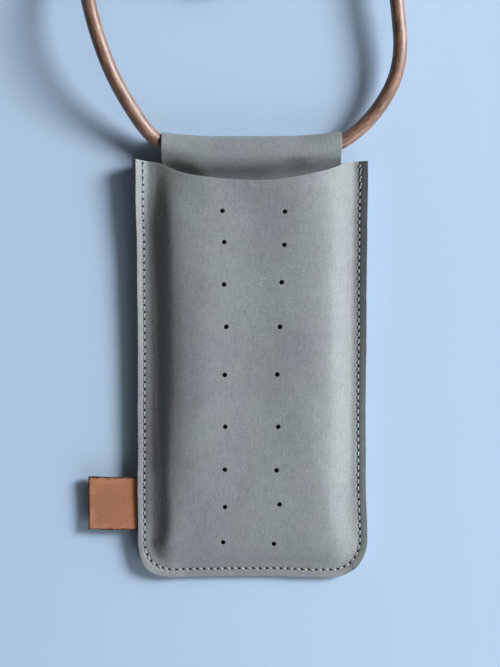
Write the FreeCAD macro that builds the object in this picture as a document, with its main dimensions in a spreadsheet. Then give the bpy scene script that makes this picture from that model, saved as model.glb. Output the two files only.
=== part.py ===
# A leather phone pouch on a round leather neck cord, lying on its back.
#
# Millimetres. X runs across the pouch, Y along it towards the cord, Z up out of the front face.
# The origin is the middle of the back face, on the surface that the pouch lies on.
import FreeCAD
import Part
import math
import os
import Sketcher

Vector = FreeCAD.Vector
UP = Vector(0, 0, 1)

SIZES = (
    ("pouch_width", 96.0, "across the sewn edges"),
    ("pouch_height", 174.0, "bottom edge to shoulders"),
    ("corner_radius", 16.0, "rounded bottom corners"),
    ("leather", 1.8, "thickness of both panels and the sleeve"),
    ("front_bulge", 8.8, "rise of the front face over its sewn edge, at the shoulders"),
    ("low_bulge", 7.0, "rise that the front face has come down to at the bottom edge"),
    ("back_bulge", 2.4, "depth of the back face under its sewn edge"),
    ("bulge_inset", 5.5, "sewn edge to the foot of the bulge"),
    ("bulge_corner", 14.0, "bottom corners of the bulge at its foot"),
    ("front_slope", 50.0, "slope of the front bulge's sides, degrees"),
    ("back_slope", 30.0, "slope of the back bulge's sides, degrees"),
    ("foot_radius", 4.0, "round where the bulge leaves the sewn edge"),
    ("crown_radius", 6.0, "round where the bulge turns into the flat face"),
    ("scoop_width", 80.6, "width of the hollow in the mouth's edge"),
    ("scoop_depth", 7.5, "depth of the hollow under the shoulders"),
    ("hole_diameter", 2.2, "punched holes in the front"),
    ("hole_rows", 9, "rows of punched holes"),
    ("hole_top_gap", 25.6, "between the two columns at the first row"),
    ("hole_bottom_gap", 20.8, "between the two columns at the last row"),
    ("hole_top_margin", 13.5, "mouth's edge to the first row"),
    ("hole_bottom_margin", 14.4, "bottom edge to the last row"),
    ("sleeve_width", 75.5, "length of the cord's sleeve"),
    ("sleeve_rise", 11.5, "sleeve's fold above the shoulders"),
    ("sleeve_flex_drop", 3.0, "flex line of the sleeve below the shoulders"),
    ("sleeve_side_gap", 0.5, "between the sleeve and the notch that it flexes in"),
    ("flex_gap", 0.3, "clearance round a flexing root"),
    ("tail_width", 64.0, "end of the sleeve that is sewn down inside"),
    ("tail_length", 12.0, "end of the sleeve that is sewn down inside"),
    ("tail_seam_inset", 5.0, "end of the tail to its row of stitches"),
    ("cord_diameter", 6.0, "round leather cord"),
    ("cord_clearance", 0.9, "between the cord and its sleeve, on the radius"),
    ("cord_setback", 9.25, "sleeve's mouth to where the cord may start to bend"),
    ("label_length", 20.8, "label beyond the sewn edge"),
    ("label_height", 22.3, "label along the sewn edge"),
    ("label_leather", 2.0, "thickness of the label"),
    ("label_grip", 4.5, "depth of the label held in the seam"),
    ("label_from_bottom", 18.9, "bottom edge to the label"),
    ("label_corner", 1.4, "free corners of the label"),
    ("stitch_margin", 3.2, "sewn edge to the row of stitches"),
    ("stitch_pitch", 2.95, "from stitch to stitch"),
    ("stitch_length", 2.15, "thread that shows in one stitch"),
    ("stitch_start", 2.6, "shoulder to the first stitch"),
    ("thread_width", 0.8, "waxed thread, pressed flat"),
    ("thread_height", 0.45, "waxed thread above the leather"),
    ("coil_outer_radius", 41.0, "middle of the cord in the outer turn"),
    ("coil_layer_turns", 2, "turns of put-away cord on each of its two layers"),
    ("coil_turn_gap", 0.75, "between neighbouring turns"),
    ("coil_layer_gap", 0.5, "between the two layers"),
    ("tie_width", 7.0, "strip that holds the coil"),
    ("tie_leather", 0.8, "thickness of that strip"),
    ("tie_gap", 0.5, "clearance between that strip and the cord"),
)

# Hand-punched holes stray from their rows: left across and along, right across and along.
PUNCH_STRAY = (
    (-0.4, -0.1, 0.0, -0.5),
    (0.3, 0.8, 0.2, -0.4),
    (0.2, 0.0, -0.4, 0.9),
    (1.1, 1.2, -0.5, 1.2),
    (0.4, 1.0, -1.0, 1.2),
    (0.5, -0.8, 0.0, -0.8),
    (0.3, 0.1, -0.1, -0.2),
    (0.3, 1.3, 1.7, 2.4),
    (-0.6, 0.1, -0.1, -0.6),
)
# Rows lie wider apart in the middle than at the ends by this measure, where 1 is even.
ROW_SPREAD = 1.15
# The pair of columns drifts this far to the right of the middle at the top and at the bottom.
COLUMN_DRIFT_TOP = 1.1
COLUMN_DRIFT_BOTTOM = -0.9
# Shapes run this far past the mouth before the mouth is cut.
PAST_MOUTH = 20.0
# A stitch is this much narrower along its top than where it lies on the leather.
STITCH_BEVEL = 0.2
# Saddle stitches lean this much from the line of the seam, in degrees.
STITCH_LEAN = 9.0
# A bend takes this share of the shorter run beside it.
BEND_SHARE = 0.45
# Bends of the cord's free stretches, from the sleeve's mouths: outwards, along and up.
LEFT_BENDS = (
    (0.75, 0.0, 0.0), (9.75, 4.4, 0.7), (18.95, 16.2, 3.3), (27.65, 40.6, 7.3),
    (31.45, 66.2, 8.3), (32.25, 97.2, 4.3), (20.25, 135.2, -0.5),
)
RIGHT_BENDS = (
    (0.75, 0.0, 0.0), (9.75, 4.4, 0.7), (18.95, 16.2, 3.3), (24.65, 37.5, 7.3),
    (23.65, 62.2, 9.3), (24.25, 95.2, 8.3), (14.25, 135.2, 5.7),
)
# Last run of each stretch, beside the coil.
COIL_APPROACH = 22.0
# Middle of the put-away coil, across and along from the middle of the sleeve.
COIL_OFFSET = (-3.0, 113.2)

doc = FreeCAD.newDocument("phone_pouch")
sheet = doc.addObject("Spreadsheet::Sheet", "Sizes")
for row, (alias, value, note) in enumerate(SIZES, start=1):
    sheet.set(f"A{row}", alias)
    sheet.set(f"B{row}", str(value))
    sheet.setAlias(f"B{row}", alias)
    sheet.set(f"C{row}", note)
doc.recompute()


def size(alias):
    """A driving dimension from the sheet."""
    return float(getattr(sheet, alias))


leather = size("leather")
half_width = size("pouch_width") / 2
half_height = size("pouch_height") / 2
seam_z = size("back_bulge") + leather
cord_radius = size("cord_diameter") / 2
bore_radius = cord_radius + size("cord_clearance")
roll_radius = bore_radius + leather
cord_y = half_height + size("sleeve_rise") - roll_radius
cord_z = roll_radius
coil_centre = Vector(COIL_OFFSET[0], cord_y + COIL_OFFSET[1], 0)
flex_y = half_height - size("sleeve_flex_drop")
flex_z = leather
flex_edge_y = flex_y - leather - size("flex_gap")
label_hinge_x = -half_width - size("label_leather") / 2 - size("flex_gap")
label_low_y = -half_height + size("label_from_bottom")
coil_pitch = size("cord_diameter") + size("coil_turn_gap")
coil_turns = 2 * round(size("coil_layer_turns"))

HALF_HEIGHT = "Sizes.pouch_height / 2"
SEAM_Z = "Sizes.back_bulge + Sizes.leather"
ROLL_RADIUS = "(Sizes.cord_diameter / 2 + Sizes.cord_clearance + Sizes.leather)"
FLEX_Y = "(Sizes.pouch_height / 2 - Sizes.sleeve_flex_drop)"
FLEX_EDGE_Y = FLEX_Y + " - Sizes.leather - Sizes.flex_gap"
TAIL_SEAM_Y = FLEX_EDGE_Y + " - Sizes.tail_length + Sizes.tail_seam_inset"


def new_body(label):
    """An empty body whose label names its piece."""
    body = doc.addObject("PartDesign::Body", label)
    body.Label = label
    return body


def sketch_on(body, name, role="XY_Plane", lift=None):
    """A sketch on one of the body's own planes, lifted off it by an expression."""
    plane = next(item for item in body.Origin.OriginFeatures if item.Role == role)
    sketch = body.newObject("Sketcher::SketchObject", name)
    sketch.AttachmentSupport = [(plane, "")]
    sketch.MapMode = "FlatFace"
    if lift:
        sketch.setExpression(".AttachmentOffset.Base.z", lift)
    return sketch


def bind(sketch, name, constraint, expression):
    """Adds a named dimension to a sketch and ties it to the sheet."""
    index = sketch.addConstraint(constraint)
    sketch.renameConstraint(index, name)
    sketch.setExpression("Constraints." + name, expression)


def draw_pouch_outline(sketch, inset, corner, past):
    """The pouch's outline, inset from its sewn edge, running past the mouth at the top."""
    wide = half_width - inset[0]
    low = inset[0] - half_height
    high = half_height + past
    radius = corner[0]
    left_turn = Vector(-wide + radius, low + radius)
    right_turn = Vector(wide - radius, low + radius)
    sketch.addGeometry([
        Part.LineSegment(Vector(-wide, high), Vector(-wide, low + radius)),
        Part.ArcOfCircle(Part.Circle(left_turn, UP, radius), math.pi, 1.5 * math.pi),
        Part.LineSegment(Vector(-wide + radius, low), Vector(wide - radius, low)),
        Part.ArcOfCircle(Part.Circle(right_turn, UP, radius), 1.5 * math.pi, 2 * math.pi),
        Part.LineSegment(Vector(wide, low + radius), Vector(wide, high)),
        Part.LineSegment(Vector(wide, high), Vector(-wide, high)),
    ], False)
    rule = Sketcher.Constraint
    sketch.addConstraint([
        rule("Tangent", 0, 2, 1, 1), rule("Tangent", 1, 2, 2, 1),
        rule("Tangent", 2, 2, 3, 1), rule("Tangent", 3, 2, 4, 1),
        rule("Coincident", 4, 2, 5, 1), rule("Coincident", 5, 2, 0, 1),
        rule("Vertical", 0), rule("Vertical", 4), rule("Horizontal", 2),
        rule("Equal", 1, 3), rule("Symmetric", 0, 1, 4, 2, -2),
    ])
    bind(sketch, "corner", rule("Radius", 1, radius), corner[1])
    bind(sketch, "across", rule("DistanceX", 0, 1, 4, 2, 2 * wide),
         f"Sizes.pouch_width - 2 * ({inset[1]})")
    bind(sketch, "below", rule("DistanceY", 2, 1, -1, 1, -low), f"{HALF_HEIGHT} - ({inset[1]})")
    bind(sketch, "above", rule("DistanceY", -1, 1, 0, 1, high), f"{HALF_HEIGHT} + {past}")


def draw_box(sketch, low_x, high_x, low_y, high_y, bounds):
    """A rectangle that four dimensions place: a name, a constraint and an expression each."""
    corners = (Vector(low_x, low_y), Vector(high_x, low_y), Vector(high_x, high_y), Vector(low_x, high_y))
    rule = Sketcher.Constraint
    for index in range(4):
        sketch.addGeometry(Part.LineSegment(corners[index], corners[(index + 1) % 4]), False)
    for index in range(4):
        sketch.addConstraint(rule("Coincident", index, 2, (index + 1) % 4, 1))
        sketch.addConstraint(rule("Vertical" if index % 2 else "Horizontal", index))
    for name, constraint, expression in bounds:
        bind(sketch, name, constraint, expression)


def add_pad(body, name, sketch, length, taper=None, backwards=False, midplane=False):
    """A pad of the sketch, its length and taper tied to the sheet."""
    pad = body.newObject("PartDesign::Pad", name)
    pad.Profile = sketch
    pad.setExpression("Length", length)
    pad.Reversed = backwards
    if midplane:
        pad.SideType = "Symmetric"
    if taper:
        pad.setExpression("TaperAngle", taper)
    doc.recompute()
    return pad


def add_pocket(body, name, sketch, depth=None, taper=None, backwards=False):
    """A pocket of the sketch, checked to have taken something away; with no depth it goes right through."""
    before = body.Shape.Volume
    pocket = body.newObject("PartDesign::Pocket", name)
    pocket.Profile = sketch
    pocket.Reversed = backwards
    if depth:
        pocket.setExpression("Length", depth)
    else:
        pocket.Type = "ThroughAll"
        pocket.SideType = "Symmetric"
    if taper:
        pocket.setExpression("TaperAngle", taper)
    doc.recompute()
    if body.Shape.Volume > before - 1e-3:
        raise RuntimeError(f"{body.Label}: {name} cut nothing")
    return pocket


def loop_edges(shape, level, inset):
    """Names of the edges that lie at the level of their place along, inside an inset from the sewn edge."""
    names = []
    slack = 1e-3
    for index, edge in enumerate(shape.Edges, start=1):
        box = edge.BoundBox
        points = [vertex.Point for vertex in edge.Vertexes] + [edge.CenterOfMass]
        level_there = all(abs(point.z - level(point.y)) < slack for point in points)
        across = max(-box.XMin, box.XMax) < half_width - inset + slack
        along = inset - half_height - slack < box.YMin and box.YMax < half_height + PAST_MOUTH + slack
        if level_there and across and along:
            names.append(f"Edge{index}")
    return names


def round_edges(body, name, level, inset, radius):
    """Rounds the edges of a bulge that follow one height."""
    base = body.Tip
    fillet = body.newObject("PartDesign::Fillet", name)
    fillet.Base = (base, loop_edges(base.Shape, level, inset))
    fillet.setExpression("Radius", radius)
    doc.recompute()


def crown_height(bulge, low, y):
    """Rise of a face that comes down evenly from the shoulders to the bottom edge."""
    return size(low) + (size(bulge) - size(low)) * (y + half_height) / (2 * half_height)


def trim_crown(body, name, lift, bulge, low):
    """Takes off a bulge what stands above its falling crown."""
    sketch = sketch_on(body, name, role="YZ_Plane")
    sketch.setExpression(".AttachmentOffset.Base.y", lift)
    rule = Sketcher.Constraint
    past = PAST_MOUTH + 1
    end = half_height + past
    start_rise = size(low)
    end_rise = crown_height(bulge, low, end)
    top = max(size(bulge), size(low)) + 2
    corners = (Vector(-half_height, start_rise), Vector(end, end_rise), Vector(end, top),
               Vector(-half_height, top))
    for index in range(4):
        sketch.addGeometry(Part.LineSegment(corners[index], corners[(index + 1) % 4]), False)
    for index in range(4):
        sketch.addConstraint(rule("Coincident", index, 2, (index + 1) % 4, 1))
    sketch.addConstraint([rule("Vertical", 1), rule("Horizontal", 2), rule("Vertical", 3)])
    bind(sketch, "bottom", rule("DistanceX", 0, 1, -1, 1, half_height), HALF_HEIGHT)
    bind(sketch, "low", rule("DistanceY", -1, 1, 0, 1, start_rise), f"Sizes.{low}")
    bind(sketch, "end", rule("DistanceX", -1, 1, 0, 2, end), f"{HALF_HEIGHT} + {past}")
    bind(sketch, "high", rule("DistanceY", -1, 1, 0, 2, end_rise),
         f"Sizes.{bulge} + (Sizes.{bulge} - Sizes.{low}) * {past} / Sizes.pouch_height")
    bind(sketch, "top", rule("DistanceY", -1, 1, 2, 1, top), f"max(Sizes.{bulge}; Sizes.{low}) + 2")
    add_pocket(body, name + "_cut", sketch)


def add_bulge(body, side, lift, inset, corner, bulge, slope, low):
    """The sloping form of a bulge on the outline of its foot, its crown trimmed where it falls."""
    name = body.Label
    foot = sketch_on(body, name + "_foot", lift=f"{side} * {lift}")
    draw_pouch_outline(foot, inset, corner, PAST_MOUTH)
    length = f"Sizes.{bulge}" if low == bulge else f"max(Sizes.{bulge}; Sizes.{low}) + 1"
    add_pad(body, name + "_bulge", foot, length, taper=f"Sizes.{slope} - 90", backwards=side < 0)
    if low != bulge:
        trim_crown(body, name + "_fall", lift, bulge, low)


def pressed_panel(label, side, bulge, slope, low):
    """A panel with its sewn edge in the seam's plane and its middle bulging up (+1) or down (-1)."""
    angle = math.radians(size(slope))
    inset = size("bulge_inset")
    corner = size("bulge_corner")
    inner_inset = inset + leather * math.tan(angle / 2)
    sheet_inset = f"Sizes.bulge_inset + Sizes.leather * tan(Sizes.{slope} / 2 * 1 deg)"
    inner_corner = (corner + inset - inner_inset, f"Sizes.bulge_corner + Sizes.bulge_inset - ({sheet_inset})")
    room = new_body(label + "_room")
    add_bulge(room, side, "0", (inner_inset, sheet_inset), inner_corner, bulge, slope, low)
    round_edges(room, label + "_inner_crown", lambda y: side * crown_height(bulge, low, y), inner_inset,
                "Sizes.crown_radius - Sizes.leather")

    body = new_body(label)
    body.setExpression(".Placement.Base.z", SEAM_Z)
    edge = sketch_on(body, label + "_edge")
    draw_pouch_outline(edge, (0.0, "0"), (size("corner_radius"), "Sizes.corner_radius"), 2 * PAST_MOUTH)
    add_pad(body, label + "_flange", edge, "Sizes.leather", backwards=side < 0)
    add_bulge(body, side, "Sizes.leather", (inset, "Sizes.bulge_inset"), (corner, "Sizes.bulge_corner"),
              bulge, slope, low)
    round_edges(body, label + "_crown", lambda y: side * (leather + crown_height(bulge, low, y)), inset,
                "Sizes.crown_radius")
    round_edges(body, label + "_toe", lambda y: side * leather, inset, "Sizes.foot_radius")
    hollow = body.newObject("PartDesign::Boolean", label + "_inside")
    hollow.Type = "Cut"
    hollow.addObjects([room])
    doc.recompute()
    round_edges(body, label + "_inner_toe", lambda y: 0.0, inner_inset, "Sizes.foot_radius + Sizes.leather")
    return body


def cut_label_recess(body, backwards):
    """Half of the label's thickness, skived out of a panel's sewn edge."""
    sketch = sketch_on(body, body.Label + "_label_recess")
    rule = Sketcher.Constraint
    inner_x = -half_width + size("label_grip")
    draw_box(sketch, -half_width - 1, inner_x, label_low_y, label_low_y + size("label_height"), (
        ("inner", rule("DistanceX", 1, 1, -1, 1, -inner_x), "Sizes.pouch_width / 2 - Sizes.label_grip"),
        ("depth", rule("DistanceX", 0, 1, 0, 2, size("label_grip") + 1), "Sizes.label_grip + 1"),
        ("low", rule("DistanceY", 0, 1, -1, 1, -label_low_y), f"{HALF_HEIGHT} - Sizes.label_from_bottom"),
        ("tall", rule("DistanceY", 0, 1, 3, 1, size("label_height")), "Sizes.label_height"),
    ))
    add_pocket(body, body.Label + "_recess", sketch, "Sizes.label_leather / 2", backwards=backwards)


def cut_front_mouth(body):
    """The front panel's top edge: level shoulders with a shallow round hollow between them."""
    sketch = sketch_on(body, "front_mouth")
    wide = half_width + 1
    high = half_height + 3 * PAST_MOUTH
    half_scoop = size("scoop_width") / 2
    left = Vector(-half_scoop, half_height)
    right = Vector(half_scoop, half_height)
    lowest = Vector(0, half_height - size("scoop_depth"))
    points = (right, Vector(wide, half_height), Vector(wide, high), Vector(-wide, high),
              Vector(-wide, half_height), left)
    for start, end in zip(points, points[1:]):
        sketch.addGeometry(Part.LineSegment(start, end), False)
    sketch.addGeometry(Part.Arc(left, lowest, right), False)
    rule = Sketcher.Constraint
    for index in range(4):
        sketch.addConstraint(rule("Coincident", index, 2, index + 1, 1))
    sketch.addConstraint([
        rule("Coincident", 4, 2, 5, 1), rule("Coincident", 5, 2, 0, 1),
        rule("Horizontal", 0), rule("Vertical", 1), rule("Vertical", 3), rule("Horizontal", 4),
        rule("Symmetric", 1, 2, 3, 1, -2), rule("Symmetric", 5, 1, 5, 2, -2),
    ])
    lowest_point = sketch.addGeometry(Part.Point(lowest), True)
    sketch.addConstraint(rule("PointOnObject", lowest_point, 1, 5))
    sketch.addConstraint(rule("PointOnObject", lowest_point, 1, -2))
    bind(sketch, "shoulder", rule("DistanceY", -1, 1, 0, 1, half_height), HALF_HEIGHT)
    bind(sketch, "scoop", rule("DistanceX", 5, 1, 5, 2, 2 * half_scoop), "Sizes.scoop_width")
    bind(sketch, "dip", rule("DistanceY", lowest_point, 1, 0, 1, size("scoop_depth")), "Sizes.scoop_depth")
    bind(sketch, "across", rule("DistanceX", 3, 1, 1, 2, 2 * wide), "Sizes.pouch_width + 2")
    bind(sketch, "tall", rule("DistanceY", 0, 2, 1, 2, high - half_height), str(3 * PAST_MOUTH))
    add_pocket(body, "front_mouth_cut", sketch)


def cut_back_mouth(body):
    """The back panel's top edge: level shoulders with a notch between them that the sleeve flexes in."""
    shoulder = sketch_on(body, "back_shoulder")
    rule = Sketcher.Constraint
    wide = half_width + 1
    high = half_height + 3 * PAST_MOUTH
    draw_box(shoulder, -wide, wide, half_height, high, (
        ("across", rule("DistanceX", 0, 1, 0, 2, 2 * wide), "Sizes.pouch_width + 2"),
        ("side", rule("DistanceX", 0, 1, -1, 1, wide), "Sizes.pouch_width / 2 + 1"),
        ("low", rule("DistanceY", -1, 1, 0, 1, half_height), HALF_HEIGHT),
        ("tall", rule("DistanceY", 0, 1, 3, 1, high - half_height), str(3 * PAST_MOUTH)),
    ))
    add_pocket(body, "back_shoulder_cut", shoulder)
    notch = sketch_on(body, "back_notch")
    reach = size("sleeve_width") / 2 + size("sleeve_side_gap")
    draw_box(notch, -reach, reach, flex_edge_y, half_height + 1, (
        ("across", rule("DistanceX", 0, 1, 0, 2, 2 * reach),
         "Sizes.sleeve_width + 2 * Sizes.sleeve_side_gap"),
        ("side", rule("DistanceX", 0, 1, -1, 1, reach),
         "Sizes.sleeve_width / 2 + Sizes.sleeve_side_gap"),
        ("low", rule("DistanceY", -1, 1, 0, 1, flex_edge_y), FLEX_EDGE_Y),
        ("top", rule("DistanceY", -1, 1, 3, 1, half_height + 1), HALF_HEIGHT + " + 1"),
    ))
    add_pocket(body, "back_notch_cut", notch)


def hole_centres():
    """Middles of the punched holes: two columns that draw together downwards, in uneven rows."""
    rows = int(size("hole_rows"))
    first = half_height - size("scoop_depth") - size("hole_top_margin")
    last = -half_height + size("hole_bottom_margin")
    centres = []
    for row in range(rows):
        even = 2 * row / (rows - 1) - 1
        eased = ROW_SPREAD * even - (ROW_SPREAD - 1) * even ** 3
        share = (eased + 1) / 2
        y = first + (last - first) * share
        gap = size("hole_top_gap") + (size("hole_bottom_gap") - size("hole_top_gap")) * share
        middle = COLUMN_DRIFT_TOP + (COLUMN_DRIFT_BOTTOM - COLUMN_DRIFT_TOP) * share
        stray = PUNCH_STRAY[row % len(PUNCH_STRAY)]
        centres.append(Vector(middle - gap / 2 + stray[0], y + stray[1]))
        centres.append(Vector(middle + gap / 2 + stray[2], y + stray[3]))
    return centres


def punch_holes(body):
    """The round holes punched through the front."""
    sketch = sketch_on(body, "front_holes")
    rule = Sketcher.Constraint
    for index, centre in enumerate(hole_centres()):
        sketch.addGeometry(Part.Circle(centre, UP, size("hole_diameter") / 2), False)
        sketch.addConstraint([rule("DistanceX", index, 3, centre.x), rule("DistanceY", index, 3, centre.y)])
        if index:
            sketch.addConstraint(rule("Equal", 0, index))
    bind(sketch, "hole", rule("Radius", 0, size("hole_diameter") / 2), "Sizes.hole_diameter / 2")
    add_pocket(body, "front_punched", sketch)


def cut_stitch_groove(body):
    """A groove across the back for the stitches that hold the sleeve's end, so that they lie flush."""
    sketch = sketch_on(body, "back_groove", lift=f"-({SEAM_Z})")
    rule = Sketcher.Constraint
    row = tail_seam_y()
    reach = size("tail_width") / 2
    wide = size("thread_width") + 2 * STITCH_BEVEL
    low = f"{TAIL_SEAM_Y} - Sizes.thread_width / 2 - {STITCH_BEVEL}"
    draw_box(sketch, -reach, reach, row - wide / 2, row + wide / 2, (
        ("across", rule("DistanceX", 0, 1, 0, 2, 2 * reach), "Sizes.tail_width"),
        ("side", rule("DistanceX", 0, 1, -1, 1, reach), "Sizes.tail_width / 2"),
        ("low", rule("DistanceY", -1, 1, 0, 1, row - wide / 2), low),
        ("tall", rule("DistanceY", 0, 1, 3, 1, wide), f"Sizes.thread_width + {2 * STITCH_BEVEL}"),
    ))
    add_pocket(body, "back_groove_cut", sketch, "Sizes.thread_height + Sizes.flex_gap", backwards=True)


def tail_seam_y():
    """The line of stitches that holds the sleeve's end down."""
    return flex_edge_y - size("tail_length") + size("tail_seam_inset")


def front_panel():
    """The front: scooped at the mouth and punched with two columns of holes."""
    body = pressed_panel("front_panel", 1, "front_bulge", "front_slope", "low_bulge")
    cut_front_mouth(body)
    cut_label_recess(body, backwards=True)
    punch_holes(body)
    return body


def back_panel():
    """The back: notched for the sleeve, which is cut from the same leather."""
    body = pressed_panel("back_panel", -1, "back_bulge", "back_slope", "back_bulge")
    cut_back_mouth(body)
    cut_label_recess(body, backwards=False)
    cut_stitch_groove(body)
    return body


def sleeve_tail():
    """The end of the sleeve, folded down inside the pouch and sewn to the back."""
    body = new_body("sleeve_tail")
    body.setExpression(".Placement.Base.z", "Sizes.leather")
    sketch = sketch_on(body, "tail_outline")
    rule = Sketcher.Constraint
    reach = size("tail_width") / 2
    low = flex_edge_y - size("tail_length")
    draw_box(sketch, -reach, reach, low, flex_edge_y, (
        ("across", rule("DistanceX", 0, 1, 0, 2, 2 * reach), "Sizes.tail_width"),
        ("side", rule("DistanceX", 0, 1, -1, 1, reach), "Sizes.tail_width / 2"),
        ("low", rule("DistanceY", -1, 1, 0, 1, low), FLEX_EDGE_Y + " - Sizes.tail_length"),
        ("tall", rule("DistanceY", 0, 1, 3, 1, size("tail_length")), "Sizes.tail_length"),
    ))
    add_pad(body, "tail_layer", sketch, "Sizes.leather")
    return body


def cord_sleeve():
    """The sleeve: leather drawn round the cord from a rounded root on its flex line."""
    body = new_body("cord_sleeve")
    sketch = sketch_on(body, "sleeve_section", role="YZ_Plane")
    root = Vector(flex_y, flex_z)
    roll = Vector(cord_y, cord_z)
    lean = 2 * math.atan2(bore_radius, cord_y - flex_y)
    out = Vector(-math.sin(lean), math.cos(lean))
    back = Vector(0, -1)
    across = -math.pi / 2
    front = lean + math.pi / 2
    sketch.addGeometry([
        Part.LineSegment(root + back * leather, roll + back * roll_radius),
        Part.ArcOfCircle(Part.Circle(roll, UP, roll_radius), across, front),
        Part.LineSegment(roll + out * roll_radius, root + out * leather),
        Part.ArcOfCircle(Part.Circle(root, UP, leather), front, across + 2 * math.pi),
        Part.LineSegment(root, roll + back * bore_radius),
        Part.ArcOfCircle(Part.Circle(roll, UP, bore_radius), across, front),
        Part.LineSegment(roll + out * bore_radius, root),
    ], False)
    rule = Sketcher.Constraint
    sketch.addConstraint([
        rule("Tangent", 0, 2, 1, 1), rule("Tangent", 1, 2, 2, 1),
        rule("Tangent", 2, 2, 3, 1), rule("Tangent", 3, 2, 0, 1),
        rule("Tangent", 4, 2, 5, 1), rule("Tangent", 5, 2, 6, 1),
        rule("Coincident", 6, 2, 4, 1), rule("Coincident", 4, 1, 3, 3), rule("Coincident", 5, 3, 1, 3),
        rule("Horizontal", 4),
    ])
    bind(sketch, "root_round", rule("Radius", 3, leather), "Sizes.leather")
    bind(sketch, "roll_round", rule("Radius", 1, roll_radius), ROLL_RADIUS)
    bind(sketch, "flex_line", rule("DistanceX", -1, 1, 3, 3, flex_y), FLEX_Y)
    bind(sketch, "flex_height", rule("DistanceY", -1, 1, 3, 3, flex_z), "Sizes.leather")
    bind(sketch, "cord_line", rule("DistanceX", -1, 1, 1, 3, cord_y),
         f"{HALF_HEIGHT} + Sizes.sleeve_rise - {ROLL_RADIUS}")
    add_pad(body, "sleeve_length", sketch, "Sizes.sleeve_width", midplane=True)
    return body


def label_tail():
    """The end of the label, held between the panels."""
    box = doc.addObject("Part::Box", "label_tail")
    box.setExpression("Length", "Sizes.label_grip")
    box.setExpression("Width", "Sizes.label_height")
    box.setExpression("Height", "Sizes.label_leather")
    box.setExpression(".Placement.Base.x", "-Sizes.pouch_width / 2")
    box.setExpression(".Placement.Base.y", f"Sizes.label_from_bottom - {HALF_HEIGHT}")
    box.setExpression(".Placement.Base.z", f"{SEAM_Z} - Sizes.label_leather / 2")
    return box


def label_tab():
    """The bare leather label, standing out of the seam from a rounded root on its flex line."""
    body = new_body("label_tab")
    middle = f"Sizes.label_from_bottom + Sizes.label_height / 2 - {HALF_HEIGHT}"
    body.setExpression(".Placement.Base.y", middle)
    body.setExpression(".Placement.Base.z", SEAM_Z)
    sketch = sketch_on(body, "label_section", role="XZ_Plane")
    half = size("label_leather") / 2
    outer_x = -half_width - size("label_length")
    root = Vector(label_hinge_x, 0)
    sketch.addGeometry([
        Part.ArcOfCircle(Part.Circle(root, UP, half), -math.pi / 2, math.pi / 2),
        Part.LineSegment(Vector(label_hinge_x, half), Vector(outer_x, half)),
        Part.LineSegment(Vector(outer_x, half), Vector(outer_x, -half)),
        Part.LineSegment(Vector(outer_x, -half), Vector(label_hinge_x, -half)),
    ], False)
    rule = Sketcher.Constraint
    sketch.addConstraint([
        rule("Tangent", 0, 2, 1, 1), rule("Coincident", 1, 2, 2, 1),
        rule("Coincident", 2, 2, 3, 1), rule("Tangent", 3, 2, 0, 1),
        rule("Horizontal", 1), rule("Vertical", 2), rule("Horizontal", 3),
        rule("PointOnObject", 0, 3, -1),
    ])
    bind(sketch, "root_round", rule("Radius", 0, half), "Sizes.label_leather / 2")
    bind(sketch, "flex_line", rule("DistanceX", 0, 3, -1, 1, -label_hinge_x),
         "Sizes.pouch_width / 2 + Sizes.label_leather / 2 + Sizes.flex_gap")
    bind(sketch, "outer_end", rule("DistanceX", 2, 1, -1, 1, -outer_x),
         "Sizes.pouch_width / 2 + Sizes.label_length")
    pad = add_pad(body, "label_width", sketch, "Sizes.label_height", midplane=True)
    corners = []
    for index, edge in enumerate(pad.Shape.Edges, start=1):
        box = edge.BoundBox
        if box.XMax < outer_x + 1e-4 and box.ZLength > half:
            corners.append(f"Edge{index}")
    rounding = body.newObject("PartDesign::Fillet", "label_corners")
    rounding.Base = (pad, corners)
    rounding.setExpression("Radius", "Sizes.label_corner")
    return body


def one_stitch():
    """A stitch lying along X: broad on the leather and narrower along its top."""
    long = size("stitch_length") / 2
    wide = size("thread_width") / 2
    stitch = Part.makeWedge(
        -long, 0, -wide, -wide + STITCH_BEVEL, -long + 2 * STITCH_BEVEL,
        long, size("thread_height"), wide, wide - STITCH_BEVEL, long - 2 * STITCH_BEVEL)
    stitch.rotate(Vector(0, 0, 0), Vector(1, 0, 0), 90)
    return stitch


def seam_stations():
    """Evenly spaced places along the seam, down the left side, round the bottom and up the right side."""
    wide = half_width - size("stitch_margin")
    low = size("stitch_margin") - half_height
    high = half_height - size("stitch_start")
    radius = size("corner_radius") - size("stitch_margin")
    side = high - low - radius
    quarter = math.pi / 2 * radius
    base = 2 * (wide - radius)
    total = 2 * side + 2 * quarter + base
    count = round(total / size("stitch_pitch"))
    stations = []
    for index in range(count):
        run = total * (index + 0.5) / count
        if run < side:
            stations.append((-wide, high - run, -90.0))
        elif run < side + quarter:
            turn = (run - side) / radius
            x = -wide + radius - radius * math.cos(turn)
            y = low + radius - radius * math.sin(turn)
            stations.append((x, y, math.degrees(turn) - 90.0))
        elif run < side + quarter + base:
            stations.append((-wide + radius + run - side - quarter, low, 0.0))
        elif run < side + 2 * quarter + base:
            turn = (run - side - quarter - base) / radius
            x = wide - radius + radius * math.sin(turn)
            y = low + radius - radius * math.cos(turn)
            stations.append((x, y, math.degrees(turn)))
        else:
            stations.append((wide, low + radius + run - side - 2 * quarter - base, 90.0))
    return stations


def tail_stations():
    """Evenly spaced places along the row of stitches that holds the sleeve's end."""
    reach = size("tail_width") / 2 - size("stitch_margin")
    count = round(2 * reach / size("stitch_pitch"))
    row = tail_seam_y()
    return [(-reach + 2 * reach * (index + 0.5) / count, row, 0.0) for index in range(count)]


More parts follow.
